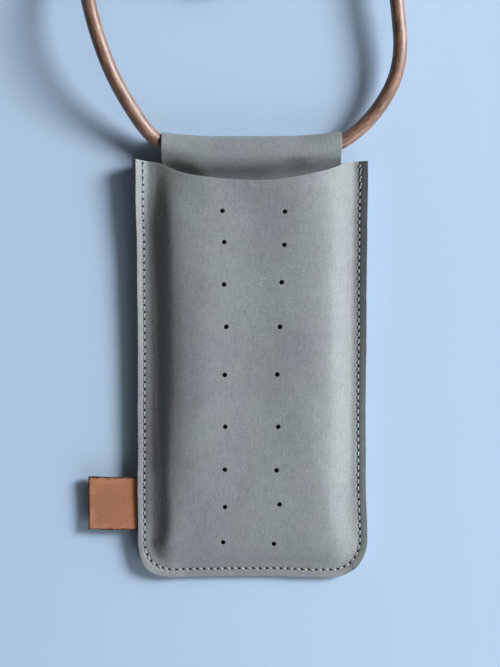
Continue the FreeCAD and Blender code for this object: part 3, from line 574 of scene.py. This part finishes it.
def punch(piece):
    """Cuts the round holes through the leather."""
    punches = []
    for x, y in PUNCHED:
        put_down()
        bpy.ops.mesh.primitive_cylinder_add(vertices=20, radius=PUNCH_RADIUS * MM, depth=PUNCH_LENGTH * MM,
                                            location=(x * MM, y * MM, PUNCH_LEVEL * MM))
        punches.append(bpy.context.object)
    cutter = join_up(punches, "punch")
    finish_with(piece, "BOOLEAN", object=cutter, operation="DIFFERENCE", solver="EXACT")
    bpy.data.objects.remove(cutter)


def make_front_leather():
    piece = lay_grid("front_leather", PANEL_COLUMNS, PANEL_ROWS)
    places = lay_pattern(piece)
    mark_seam(piece, places)
    for vertex, (x, y) in zip(piece.data.vertices, places):
        if y > SCOOP_START:
            drawn = (along(SCOOP, x) - SCOOP_START) / (HALF_HEIGHT - SCOOP_START)
            y = SCOOP_START + (y - SCOOP_START) * drawn
        real_x, real_y = settle(x, y)
        vertex.co = (real_x * MM, real_y * MM, front_height(x, y) * MM)
    give_leather(piece, -1)
    square_rim(piece, places)
    punch(piece)
    break_edges(piece, EDGE_BREAK)
    shade_by_angle(piece, 40)
    return piece


def nearest(values, wanted):
    return min(values, key=lambda value: abs(value - wanted))


def fit_tongue(places):
    """Moves the grid's nearest lines onto the tongue's slits, its start and the row that sews it down."""
    columns = sorted({round(abs(x), 4) for x, y in places if y > 0})
    rows = sorted({round(y, 4) for x, y in places if abs(x) < 1})
    slit_column = nearest(columns, TONGUE_SLIT)
    moved = {nearest(rows, TONGUE_START): TONGUE_START}
    sewn_row = rows.index(nearest(rows, TAIL_STITCHES))
    for step, off in ((-2, -1.5), (-1, -0.65), (0, 0), (1, 0.65), (2, 1.5)):
        moved[rows[sewn_row + step]] = TAIL_STITCHES + off
    for number, (x, y) in enumerate(places):
        if abs(abs(x) - slit_column) < 0.001:
            x = math.copysign(TONGUE_SLIT, x)
        places[number] = (x, moved.get(round(y, 4), y))


def make_back_leather():
    piece = lay_grid("back_leather", PANEL_COLUMNS, PANEL_ROWS)
    places = lay_pattern(piece)
    mark_seam(piece, places)
    fit_tongue(places)
    take_up(piece)
    bpy.ops.object.mode_set(mode="EDIT")
    bpy.ops.mesh.select_all(action="DESELECT")
    bpy.ops.object.mode_set(mode="OBJECT")
    for face in piece.data.polygons:
        corners = [places[number] for number in face.vertices]
        face.select = all(abs(x) < TONGUE_SLIT + 0.01 and y > TONGUE_START - 0.01 for x, y in corners)
    left_over = {number for face in piece.data.polygons if not face.select for number in face.vertices}
    kept = [places[number] for number in sorted(left_over)]
    for vertex, (x, y) in zip(piece.data.vertices, places):
        real_x, real_y = settle(x, y, 0.6)
        vertex.co = (real_x * MM, real_y * MM, back_height(x, y) * MM)
    bpy.ops.object.mode_set(mode="EDIT")
    bpy.ops.mesh.delete(type="FACE")
    bpy.ops.object.mode_set(mode="OBJECT")
    give_leather(piece, -1)
    square_rim(piece, kept)
    # a groove for the sleeve's stitches, so that their thread lies inside the back's face
    for number, (x, y) in enumerate(kept):
        row = hump(y, TAIL_STITCHES, 0.7) * (1 - smooth(abs(x), 28.6, 30.5))
        piece.data.vertices[number + len(kept)].co.z += 0.55 * row * MM
    shade_by_angle(piece, 40)
    return piece


# the sleeve: the back leather's tongue, rolled forward round the cord and sewn down inside

ROLL_RADIUS = 4.8
ROLL_STEPS = 16
SLEEVE_COLUMNS = 64

# the leather's middle from the top of the roll down to its sewn end, at the sleeve's middle and at its mouths
FRONT_MIDDLE = (
    (91, 10.5), (89.5, 10.25), (88, 9.6), (86.4, 8.55), (84.9, 7.3), (83.4, 5.9), (81.9, 4.6), (80.4, 3.6),
    (78.8, 3.0), (77.2, 2.75), (75.6, 2.7), (74, 2.7), (72, 2.7), (69.9, 2.7),
)
FRONT_END = (
    (91.3, 10.0), (90.2, 9.1), (89.2, 7.9), (88.2, 6.65), (87.2, 5.45), (86, 4.4), (84.6, 3.6), (83, 3.05),
    (81.2, 2.8), (79.4, 2.7), (77.4, 2.7), (75, 2.7), (72.4, 2.7), (69.9, 2.7),
)

# how far the front of the sleeve is drawn towards the cord right of its middle
FRONT_DRAW = 1.6

# how far the roll lies in towards the pouch at its middle, and how far the cord pulls it out at its mouths
ROLL_BACK = 0.5
PULL_LEFT = 1.15
PULL_RIGHT = 1.7


def sleeve_profile(front):
    """The middle of the leather's thickness, from the back panel round the cord to the end inside."""
    line = [(y, LEATHER / 2) for y in (TONGUE_START, 84, 86.5, 89, 91)]
    for step in range(ROLL_STEPS + 1):
        angle = -math.pi / 2 + math.pi * step / ROLL_STEPS
        line.append((CORD_Y + ROLL_RADIUS * math.cos(angle), CORD_Z + ROLL_RADIUS * math.sin(angle)))
    return line + list(front)


def sleeve_place(middle, ends, row, share):
    """Where the sleeve lies, by the row along its profile and the share of the way to a mouth."""
    toward = smooth(abs(share), 0.55, 1)
    y = mix(middle[row][0], ends[row][0], toward)
    z = mix(middle[row][1], ends[row][1], toward)
    half = SLEEVE_HALF
    if row >= len(middle) - len(FRONT_MIDDLE):
        drawn = smooth(share, 0.15, 0.55) * (1 - toward)
        y += FRONT_DRAW * drawn * smooth(z, 2.7, 4.5) * (1 - smooth(z, 8.8, 10.5))
        half = mix(TAIL_HALF, SLEEVE_HALF, smooth(y, 80.5, 86.5))
    x = share * half
    reach = smooth(y, 84, 92)
    loose = smooth(z, LEATHER / 2, 4.5) * reach
    pull = PULL_RIGHT if share > 0 else PULL_LEFT
    y += reach * ((ROLL_BACK + pull) * abs(share) ** 3.5 - ROLL_BACK)
    y += loose * 0.15 * wander(x, z, 12, 3.9)
    z += loose * (0.22 * wander(x, y, 15, 8.8) + 0.06 * wander(x, y, 4, 2.9))
    x += 0.12 * share ** 8 * wander(y, z, 4, 5.5) * reach
    return x, y, z


def make_sleeve_leather():
    middle = sleeve_profile(FRONT_MIDDLE)
    ends = sleeve_profile(FRONT_END)
    rows = len(middle) - 1
    piece = lay_grid("sleeve_leather", SLEEVE_COLUMNS, rows)
    for vertex in piece.data.vertices:
        row = round((vertex.co.y + 0.5) * rows)
        x, y, z = sleeve_place(middle, ends, row, vertex.co.x * 2)
        vertex.co = (x * MM, y * MM, z * MM)
    take_up(piece)
    bpy.ops.object.mode_set(mode="EDIT")
    bpy.ops.mesh.select_all(action="SELECT")
    bpy.ops.mesh.flip_normals()
    bpy.ops.object.mode_set(mode="OBJECT")
    finish_with(piece, "SUBSURF", levels=1, render_levels=1, boundary_smooth="PRESERVE_CORNERS")
    give_leather(piece, 0)
    break_edges(piece, EDGE_BREAK)
    shade_by_angle(piece, 40)
    return piece


# thread

STITCH_REACH = 1.15
STITCH_DIP = 0.5
THREAD_WIDE = 0.33
THREAD_TALL = 0.32
PLY = 0.16
PLY_TWIST = 2.6
LEAN = math.radians(15)
SWAY = math.radians(4)

# how far the thread's middle lies above the front, outside the back and above the sewn tail
THREAD_ON_FRONT = 0.2
THREAD_ON_BACK = 0.1
THREAD_ON_TAIL = 0.15
TAIL_THREAD_LEVEL = 0.42
TAIL_FIRST_STITCH = -27.5
TAIL_STITCH_COUNT = 20


def make_stitch():
    """One stitch of two-ply thread, along X, with its ends going down into the leather."""
    put_down()
    bpy.ops.mesh.primitive_uv_sphere_add(segments=8, ring_count=7, radius=1, rotation=(0, math.pi / 2, 0))
    piece = name_piece("stitch")
    bpy.ops.object.transform_apply(location=True, rotation=True, scale=True)
    for vertex in piece.data.vertices:
        run, side, up = vertex.co
        around = math.atan2(up, side)
        ply = 1 + PLY * math.cos(2 * around - PLY_TWIST * run)
        height = up * ply * THREAD_TALL - STITCH_DIP * abs(run) ** 3
        vertex.co = (run * STITCH_REACH * MM, side * ply * THREAD_WIDE * MM, height * MM)
    bpy.ops.object.shade_smooth()
    return piece


def seam_line():
    """Where each stitch of the side and bottom seam sits, and which way it runs, on the flat pattern."""
    side = HALF_WIDTH - STITCH_INSET
    corner_x = HALF_WIDTH - CORNER
    corner_y = -(HALF_HEIGHT - CORNER)
    places = []
    for number in range(int(SEAM_RUN / STITCH_PITCH) + 2):
        run = number * STITCH_PITCH
        if run < SIDE_RUN:
            places.append((-side, HALF_HEIGHT - STITCH_START - run, -math.pi / 2))
        elif run < SIDE_RUN + CORNER_RUN:
            turned = (run - SIDE_RUN) / STITCH_CORNER
            x = -corner_x - STITCH_CORNER * math.cos(turned)
            y = corner_y - STITCH_CORNER * math.sin(turned)
            places.append((x, y, -math.pi / 2 + turned))
        elif run < SIDE_RUN + CORNER_RUN + BASE_RUN:
            places.append((-corner_x + run - SIDE_RUN - CORNER_RUN, -(HALF_HEIGHT - STITCH_INSET), 0))
        elif run < SEAM_RUN - SIDE_RUN:
            turned = (run - SIDE_RUN - CORNER_RUN - BASE_RUN) / STITCH_CORNER
            x = corner_x + STITCH_CORNER * math.sin(turned)
            y = corner_y - STITCH_CORNER * math.cos(turned)
            places.append((x, y, turned))
        else:
            places.append((side, corner_y + run - (SEAM_RUN - SIDE_RUN), math.pi / 2))
    return places


def sew(name, stitch, places, lean, turn_over=False):
    """Copies the stitch to each place and joins them to one row."""
    copies = []
    for number, (x, y, z, heading) in enumerate(places):
        copy = bpy.data.objects.new(name, stitch.data.copy())
        bpy.context.scene.collection.objects.link(copy)
        copy.location = (x * MM, y * MM, z * MM)
        sway = SWAY * noise.noise(Vector((number * 0.73, 1.9, 0.4)))
        copy.rotation_euler = (math.pi if turn_over else 0, 0, heading - lean + sway)
        copies.append(copy)
    row = join_up(copies, name)
    row.data.materials.clear()
    row.data.materials.append(waxed_thread)
    return row


def make_seam_threads(stitch):
    front = []
    back = []
    for x, y, heading in seam_line():
        real_x, real_y = settle(x, y)
        front.append((real_x, real_y, front_height(x, y) + THREAD_ON_FRONT, heading))
        back.append((real_x, real_y, back_height(x, y) - LEATHER - THREAD_ON_BACK, heading))
    # the ends of the seam are sewn over twice
    doubled = [(x + 0.35, y + 1.2, z + 0.15, heading) for x, y, z, heading in front[:3] + front[-4:-1]]
    return (sew("seam_thread_front", stitch, front + doubled, LEAN),
            sew("seam_thread_back", stitch, back, -LEAN, True))


def make_sleeve_threads(stitch):
    across = [TAIL_FIRST_STITCH + STITCH_PITCH * number for number in range(TAIL_STITCH_COUNT)]
    inside = [(x, TAIL_STITCHES, 2 * LEATHER + THREAD_ON_TAIL, 0) for x in across]
    back = [(x, TAIL_STITCHES, TAIL_THREAD_LEVEL, 0) for x in across]
    return (sew("sleeve_thread_inside", stitch, inside, LEAN),
            sew("sleeve_thread_back", stitch, back, -LEAN, True))


# the tan label in the left seam

LABEL_LOW = (-68.8, -68.1, 3.2)
LABEL_HIGH = (-43.5, -45.8, 5.2)
LABEL_BREAK = 0.35

# how far its free end droops, and how far it lies towards the pouch's mouth
LABEL_DROOP = 0.55
LABEL_SLIP = 0.35


def make_label():
    put_down()
    middle = [(low + high) / 2 * MM for low, high in zip(LABEL_LOW, LABEL_HIGH)]
    bpy.ops.mesh.primitive_cube_add(size=1, location=middle)
    piece = name_piece("label")
    piece.scale = [(high - low) * MM for low, high in zip(LABEL_LOW, LABEL_HIGH)]
    bpy.ops.object.transform_apply(location=True, rotation=True, scale=True)
    bpy.ops.object.mode_set(mode="EDIT")
    bpy.ops.mesh.select_all(action="SELECT")
    bpy.ops.mesh.bevel(offset=LABEL_BREAK * MM, segments=2, affect="EDGES")
    bpy.ops.mesh.subdivide(number_cuts=30)
    bpy.ops.object.mode_set(mode="OBJECT")
    for vertex in piece.data.vertices:
        x, y, z = vertex.co / MM
        free = smooth(-x, 49, 69)
        near = min(x - LABEL_LOW[0], y - LABEL_LOW[1], LABEL_HIGH[1] - y)
        frayed = 1 - smooth(near, 0, 0.8)
        x += frayed * (0.1 * wander(y, z, 1.1, 2.1) + 0.22 * wander(y, z, 5, 6.1))
        y += frayed * (0.12 * wander(x, z, 1.1, 3.1) + 0.2 * wander(x, z, 5, 4.4))
        z += free * (0.25 * math.sin((y + 57) / 9) - LABEL_DROOP) + 0.05 * wander(x, y, 6, 1.1)
        y += LABEL_SLIP * free
        vertex.co = (x * MM, y * MM, z * MM)
    shade_by_angle(piece, 50)
    piece.data.materials.append(tan_leather)
    return piece


# the strip that ties the put-away coil

TIE_LOW = (164.5, 0.42)
TIE_HIGH = (179.0, 14.7)
TIE_CORNER = 3.4
TIE_STEPS = 6
TIE_WIDTH = 7.0
TIE_LEATHER = 0.8
TIE_BREAK = 0.15


def tie_profile():
    """The strip's closed line round the cords, seen along X."""
    low_y, low_z = (side + TIE_CORNER for side in TIE_LOW)
    high_y, high_z = (side - TIE_CORNER for side in TIE_HIGH)
    line = []
    for y, z, start in ((high_y, high_z, 0), (low_y, high_z, 90), (low_y, low_z, 180), (high_y, low_z, 270)):
        for step in range(TIE_STEPS + 1):
            angle = math.radians(start + 90 * step / TIE_STEPS)
            line.append((y + TIE_CORNER * math.cos(angle), z + TIE_CORNER * math.sin(angle)))
    line.append(line[0])
    return line


def make_coil_tie():
    line = tie_profile()
    rows = len(line) - 1
    piece = lay_grid("coil_tie_strip", 6, rows)
    for vertex in piece.data.vertices:
        y, z = line[round((vertex.co.y + 0.5) * rows)]
        x = COIL_MIDDLE[0] + vertex.co.x * TIE_WIDTH
        vertex.co = (x * MM, y * MM, z * MM)
    bpy.ops.object.mode_set(mode="EDIT")
    bpy.ops.mesh.select_all(action="SELECT")
    bpy.ops.mesh.remove_doubles(threshold=0.01 * MM)
    bpy.ops.mesh.normals_make_consistent(inside=False)
    bpy.ops.object.mode_set(mode="OBJECT")
    finish_with(piece, "SOLIDIFY", thickness=TIE_LEATHER * MM, offset=0, use_even_offset=True)
    break_edges(piece, TIE_BREAK)
    shade_by_angle(piece, 40)
    piece.data.materials.append(tie_leather)
    return piece


# finishes

POUCH_GREY = (0.253, 0.283, 0.288, 1)
POUCH_BLUE_GREY = (0.262, 0.276, 0.307, 1)
EDGE_PALE = (0.27, 0.26, 0.245, 1)
EDGE_DARK = (0.15, 0.145, 0.14, 1)
LABEL_TAN = (0.43, 0.185, 0.098, 1)
LABEL_WORN = (0.52, 0.25, 0.145, 1)
LABEL_BURNT = (0.075, 0.023, 0.014, 1)
CORD_PALE = (0.28, 0.135, 0.076, 1)
CORD_DARK = (0.11, 0.043, 0.023, 1)
TIE_PALE = (0.2, 0.085, 0.042, 1)
TIE_DARK = (0.11, 0.045, 0.024, 1)
THREAD_PALE = (0.45, 0.455, 0.445, 1)
THREAD_DARK = (0.28, 0.285, 0.28, 1)
TABLE_BLUE = (0.458, 0.618, 0.825, 1)
TABLE_PALE = (0.468, 0.63, 0.838, 1)

# the cord's map runs along it and round it; the streaks are about 6 mm long and 1.3 mm wide
STREAKS_ALONG = 220.0
STREAKS_ROUND = 2.4


def add_node(tree, kind, inputs=(), **settings):
    node = tree.nodes.new(kind)
    for setting, value in settings.items():
        setattr(node, setting, value)
    for socket, value in dict(inputs).items():
        if isinstance(value, bpy.types.NodeSocket):
            tree.links.new(value, node.inputs[socket])
        else:
            node.inputs[socket].default_value = value
    return node


def sum_up(tree, operation, *values):
    """A Math node's result."""
    return add_node(tree, "ShaderNodeMath", dict(enumerate(values)), operation=operation).outputs[0]


def noise_of(tree, vector, scale, detail, roughness=0.5):
    inputs = {"Vector": vector, "Scale": scale, "Detail": detail, "Roughness": roughness}
    return add_node(tree, "ShaderNodeTexNoise", inputs).outputs[0]


def fade(tree, value, full, gone):
    """1 up to full and 0 from gone on, with a smooth step between."""
    inputs = {"Value": value, "From Min": full, "From Max": gone, "To Min": 1.0, "To Max": 0.0}
    return add_node(tree, "ShaderNodeMapRange", inputs, interpolation_type="SMOOTHSTEP").outputs["Result"]


def shaded(tree, colour, *shades):
    """The colour times each of the shades."""
    for shade in shades:
        inputs = {0: colour, "Scale": shade}
        colour = add_node(tree, "ShaderNodeVectorMath", inputs, operation="SCALE").outputs[0]
    return colour


def darker(tree, mask, share):
    """A shade that is 1 outside the mask and less by the share inside it."""
    return sum_up(tree, "MULTIPLY_ADD", mask, -share, 1.0)


def between(tree, share, first, second):
    """A colour between two, by a share from 0 to 1."""
    node = add_node(tree, "ShaderNodeMix", data_type="RGBA")
    for socket, value in (("Factor_Float", share), ("A_Color", first), ("B_Color", second)):
        place = next(slot for slot in node.inputs if slot.identifier == socket)
        if isinstance(value, bpy.types.NodeSocket):
            tree.links.new(value, place)
        else:
            place.default_value = value
    return next(slot for slot in node.outputs if slot.identifier == "Result_Color")


def new_group(name, inputs, outputs):
    group = bpy.data.node_groups.new(name, "ShaderNodeTree")
    for socket, kind, value in inputs:
        made = group.interface.new_socket(name=socket, in_out="INPUT", socket_type=kind)
        if value is not None:
            made.default_value = value
    for socket in outputs:
        group.interface.new_socket(name=socket, in_out="OUTPUT", socket_type="NodeSocketFloat")
    return group, group.nodes.new("NodeGroupInput").outputs, group.nodes.new("NodeGroupOutput").inputs


def make_clouding():
    """Soft lighter and darker patches, as a shade round 1."""
    group, given, put = new_group(
        "clouding", (("Vector", "NodeSocketVector", None), ("Scale", "NodeSocketFloat", 40.0),
                     ("Strength", "NodeSocketFloat", 0.2)), ("Shade",))
    cloud = noise_of(group, given["Vector"], given["Scale"], 3.0, 0.55)
    swing = sum_up(group, "SUBTRACT", cloud, 0.5)
    group.links.new(sum_up(group, "MULTIPLY_ADD", swing, given["Strength"], 1.0), put["Shade"])
    return group


def make_hide_grain():
    """The hide's own grain: a height, and a mask of its pores."""
    group, given, put = new_group(
        "hide_grain", (("Vector", "NodeSocketVector", None), ("Scale", "NodeSocketFloat", 1000.0),
                       ("Pore Size", "NodeSocketFloat", 0.3)), ("Height", "Pores"))
    bent = noise_of(group, given["Vector"], given["Scale"], 2.0)
    cells = add_node(group, "ShaderNodeTexVoronoi", {"Vector": given["Vector"], "Scale": given["Scale"]},
                     feature="DISTANCE_TO_EDGE")
    wider = sum_up(group, "MULTIPLY", given["Scale"], 0.55)
    spots = add_node(group, "ShaderNodeTexVoronoi", {"Vector": given["Vector"], "Scale": wider})
    pores = fade(group, spots.outputs["Distance"], 0.05, given["Pore Size"])
    crease = fade(group, cells.outputs["Distance"], 0.0, 0.14)
    height = sum_up(group, "MULTIPLY_ADD", crease, -0.45, bent)
    group.links.new(sum_up(group, "MULTIPLY_ADD", pores, -0.4, height), put["Height"])
    group.links.new(pores, put["Pores"])
    return group


def make_needle_row():
    """The needle holes of a seam, on a map of stitches counted along it and millimetres in from the edge."""
    group, given, put = new_group(
        "needle_row", (("Place", "NodeSocketVector", None), ("Pitch", "NodeSocketFloat", STITCH_PITCH),
                       ("Row", "NodeSocketFloat", STITCH_INSET), ("Size", "NodeSocketFloat", 0.6)), ("Hole",))
    place = add_node(group, "ShaderNodeSeparateXYZ", {0: given["Place"]}).outputs
    count = sum_up(group, "SUBTRACT", sum_up(group, "FRACT", place["X"]), 0.5)
    along_row = sum_up(group, "MULTIPLY", count, given["Pitch"])
    off_row = sum_up(group, "SUBTRACT", place["Y"], given["Row"])
    off_squared = sum_up(group, "MULTIPLY", off_row, off_row)
    reach = sum_up(group, "SQRT", sum_up(group, "MULTIPLY_ADD", along_row, along_row, off_squared))
    group.links.new(fade(group, sum_up(group, "DIVIDE", reach, given["Size"]), 0.55, 1.1), put["Hole"])
    return group


clouding = make_clouding()
hide_grain = make_hide_grain()
needle_row = make_needle_row()


def new_finish(name):
    finish = bpy.data.materials.new(name)
    finish.use_nodes = True
    tree = finish.node_tree
    return finish, tree, tree.nodes["Principled BSDF"], tree.nodes.new("ShaderNodeTexCoord").outputs


def shade_of(tree, vector, scale, strength):
    inputs = {"Vector": vector, "Scale": scale, "Strength": strength}
    return add_node(tree, "ShaderNodeGroup", inputs, node_tree=clouding).outputs["Shade"]


def grain_of(tree, vector, scale, pore_size):
    inputs = {"Vector": vector, "Scale": scale, "Pore Size": pore_size}
    node = add_node(tree, "ShaderNodeGroup", inputs, node_tree=hide_grain)
    return node.outputs["Height"], node.outputs["Pores"]


def stretched(tree, vector, scale):
    return add_node(tree, "ShaderNodeMapping", {"Vector": vector, "Scale": scale}).outputs[0]


def set_colour(tree, shader, colour):
    tree.links.new(colour, shader.inputs["Base Color"])


def set_roughness(tree, shader, level, shade):
    tree.links.new(sum_up(tree, "MULTIPLY", shade, level), shader.inputs["Roughness"])


def raise_up(tree, shader, height, distance, strength):
    inputs = {"Height": height, "Distance": distance * MM, "Strength": strength}
    tree.links.new(add_node(tree, "ShaderNodeBump", inputs).outputs[0], shader.inputs["Normal"])


def make_pouch_leather():
    finish, tree, shader, coordinates = new_finish("pouch_leather")
    place = coordinates["Object"]
    patch = noise_of(tree, place, 34.0, 2.0)
    tint = between(tree, fade(tree, patch, 0.36, 0.64), POUCH_GREY, POUCH_BLUE_GREY)
    streaks = shade_of(tree, stretched(tree, place, (1.0, 0.3, 1.0)), 900.0, 0.4)
    colour = shaded(tree, tint, shade_of(tree, place, 30.0, 0.3), shade_of(tree, place, 105.0, 0.2), streaks,
                    shade_of(tree, place, 1700.0, 0.75))
    specks = add_node(tree, "ShaderNodeTexVoronoi", {"Vector": place, "Scale": 62.0})
    rare = add_node(tree, "ShaderNodeSeparateColor", {0: specks.outputs["Color"]}).outputs[0]
    speck = sum_up(tree, "MULTIPLY", fade(tree, specks.outputs["Distance"], 0.015, 0.032),
                   sum_up(tree, "GREATER_THAN", rare, 0.8))
    # the needle holes are painted dark: painted shade inside each hole, over the real dent that the bump
    # below makes
    seam_map = add_node(tree, "ShaderNodeUVMap", uv_map="seam").outputs[0]
    hole = add_node(tree, "ShaderNodeGroup", {"Place": seam_map}, node_tree=needle_row).outputs["Hole"]
    set_colour(tree, shader, shaded(tree, colour, darker(tree, speck, 0.65), darker(tree, hole, 0.94)))
    set_roughness(tree, shader, 0.57, shade_of(tree, place, 170.0, 0.3))
    shader.inputs["Specular IOR Level"].default_value = 0.28
    shader.inputs["Sheen Weight"].default_value = 0.04
    shader.inputs["Sheen Roughness"].default_value = 0.5
    nap = grain_of(tree, place, 1300.0, 0.22)[0]
    raise_up(tree, shader, sum_up(tree, "MULTIPLY_ADD", hole, -4.0, nap), 0.08, 0.55)
    return finish


def make_cut_edge():
    finish, tree, shader, coordinates = new_finish("cut_edge")
    place = coordinates["Object"]
    fibre = noise_of(tree, stretched(tree, place, (0.3, 0.3, 1.6)), 1400.0, 3.0)
    colour = between(tree, fade(tree, fibre, 0.35, 0.65), EDGE_PALE, EDGE_DARK)
    set_colour(tree, shader, shaded(tree, colour, shade_of(tree, place, 120.0, 0.35)))
    set_roughness(tree, shader, 0.85, shade_of(tree, place, 600.0, 0.2))
    raise_up(tree, shader, fibre, 0.15, 0.7)
    return finish


def make_tan_leather():
    finish, tree, shader, coordinates = new_finish("tan_leather")
    place = coordinates["Object"]
    spot = add_node(tree, "ShaderNodeSeparateXYZ", {0: place}).outputs
    from_left = sum_up(tree, "SUBTRACT", spot["X"], LABEL_LOW[0] * MM)
    from_low = sum_up(tree, "SUBTRACT", spot["Y"], (LABEL_LOW[1] + 0.2) * MM)
    from_high = sum_up(tree, "SUBTRACT", (LABEL_HIGH[1] + 0.2) * MM, spot["Y"])
    edge = sum_up(tree, "MINIMUM", from_left, sum_up(tree, "MINIMUM", from_low, from_high))
    ragged = noise_of(tree, place, 1100.0, 4.0, 0.65)
    rough_edge = sum_up(tree, "MULTIPLY_ADD", ragged, 2.1 * MM, sum_up(tree, "SUBTRACT", edge, 1.05 * MM))
    burnt = fade(tree, rough_edge, 0.2 * MM, 0.9 * MM)
    rubbed = fade(tree, noise_of(tree, place, 260.0, 3.0), 0.38, 0.6)
    worn = sum_up(tree, "MULTIPLY", fade(tree, edge, 1.2 * MM, 3.8 * MM), rubbed)
    height, pores = grain_of(tree, place, 1500.0, 0.26)
    face = between(tree, worn, LABEL_TAN, LABEL_WORN)
    face = shaded(tree, face, shade_of(tree, place, 60.0, 0.28), shade_of(tree, place, 340.0, 0.22),
                  shade_of(tree, place, 1400.0, 0.4), darker(tree, pores, 0.16))
    set_colour(tree, shader, between(tree, burnt, face, LABEL_BURNT))
    face_roughness = sum_up(tree, "MULTIPLY", shade_of(tree, place, 300.0, 0.4), 0.52)
    tree.links.new(sum_up(tree, "MULTIPLY_ADD", burnt, 0.25, face_roughness), shader.inputs["Roughness"])
    raise_up(tree, shader, sum_up(tree, "MULTIPLY_ADD", burnt, -0.8, height), 0.12, 0.5)
    return finish


def make_cord_leather():
    finish, tree, shader, coordinates = new_finish("cord_leather")
    place = coordinates["Object"]
    spot = add_node(tree, "ShaderNodeSeparateXYZ", {0: coordinates["UV"]}).outputs
    turn = sum_up(tree, "MULTIPLY", spot["Y"], 2 * math.pi)
    length_wise = add_node(tree, "ShaderNodeCombineXYZ", {
        "X": sum_up(tree, "MULTIPLY", spot["X"], STREAKS_ALONG),
        "Y": sum_up(tree, "MULTIPLY", sum_up(tree, "COSINE", turn), STREAKS_ROUND),
        "Z": sum_up(tree, "MULTIPLY", sum_up(tree, "SINE", turn), STREAKS_ROUND)}).outputs[0]
    streak = noise_of(tree, length_wise, 1.0, 4.0, 0.65)
    height, pores = grain_of(tree, place, 1700.0, 0.3)
    colour = between(tree, fade(tree, streak, 0.36, 0.62), CORD_PALE, CORD_DARK)
    colour = shaded(tree, colour, shade_of(tree, place, 55.0, 0.3), shade_of(tree, place, 500.0, 0.8),
                    shade_of(tree, place, 1500.0, 0.5), darker(tree, pores, 0.3))
    set_colour(tree, shader, colour)
    set_roughness(tree, shader, 0.48, shade_of(tree, place, 350.0, 0.5))
    shader.inputs["Specular IOR Level"].default_value = 1.0
    shader.inputs["Coat Weight"].default_value = 0.7
    shader.inputs["Coat Roughness"].default_value = 0.42
    raise_up(tree, shader, sum_up(tree, "MULTIPLY_ADD", streak, 0.8, height), 0.12, 0.5)
    return finish


def make_tie_leather():
    finish, tree, shader, coordinates = new_finish("tie_leather")
    place = coordinates["Object"]
    height, pores = grain_of(tree, place, 1300.0, 0.3)
    colour = between(tree, pores, TIE_PALE, TIE_DARK)
    colour = shaded(tree, colour, shade_of(tree, place, 140.0, 0.4), shade_of(tree, place, 900.0, 0.25))
    set_colour(tree, shader, colour)
    set_roughness(tree, shader, 0.5, shade_of(tree, place, 300.0, 0.4))
    raise_up(tree, shader, height, 0.12, 0.5)
    return finish


def make_waxed_thread():
    finish, tree, shader, coordinates = new_finish("waxed_thread")
    place = coordinates["Object"]
    strands = noise_of(tree, place, 3200.0, 2.0)
    colour = between(tree, fade(tree, strands, 0.35, 0.65), THREAD_PALE, THREAD_DARK)
    set_colour(tree, shader, shaded(tree, colour, shade_of(tree, place, 160.0, 0.4)))
    set_roughness(tree, shader, 0.6, shade_of(tree, place, 900.0, 0.3))
    raise_up(tree, shader, strands, 0.1, 0.6)
    return finish


def make_table_top():
    finish, tree, shader, coordinates = new_finish("table_top")
    place = coordinates["Object"]
    fine = noise_of(tree, place, 900.0, 2.0)
    colour = between(tree, fine, TABLE_BLUE, TABLE_PALE)
    set_colour(tree, shader, shaded(tree, colour, shade_of(tree, place, 5.0, 0.05)))
    set_roughness(tree, shader, 0.72, shade_of(tree, place, 40.0, 0.1))
    raise_up(tree, shader, fine, 0.04, 0.3)
    return finish


pouch_leather = make_pouch_leather()
cut_edge = make_cut_edge()
tan_leather = make_tan_leather()
cord_leather = make_cord_leather()
tie_leather = make_tie_leather()
waxed_thread = make_waxed_thread()
table_top = make_table_top()

neck_cord.data.materials.clear()
neck_cord.data.materials.append(cord_leather)

front_leather = make_front_leather()
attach(front_leather, "pouch")
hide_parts("front_panel")

back_leather = make_back_leather()
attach(back_leather, "pouch")
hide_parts("back_panel")

sleeve_leather = make_sleeve_leather()
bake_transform(sleeve_leather)
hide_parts("cord_sleeve", "sleeve_tail")

stitch = make_stitch()
seam_front, seam_back = make_seam_threads(stitch)
sleeve_inside, sleeve_back = make_sleeve_threads(stitch)
bpy.data.objects.remove(stitch)
for row, node in ((seam_front, "seam_stitches_front"), (seam_back, "seam_stitches_back"),
                  (sleeve_inside, "sleeve_stitches_inside"), (sleeve_back, "sleeve_stitches_back")):
    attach(row, "pouch")
    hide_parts(node)

label = make_label()
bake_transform(label)
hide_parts("label_tab", "label_tail")

coil_tie = make_coil_tie()
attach(coil_tie, "neck_cord")
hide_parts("coil_tie")

put_down()
bpy.ops.mesh.primitive_plane_add(size=6, location=(0, 0, 0))
table = name_piece("table")
table.data.materials.append(table_top)
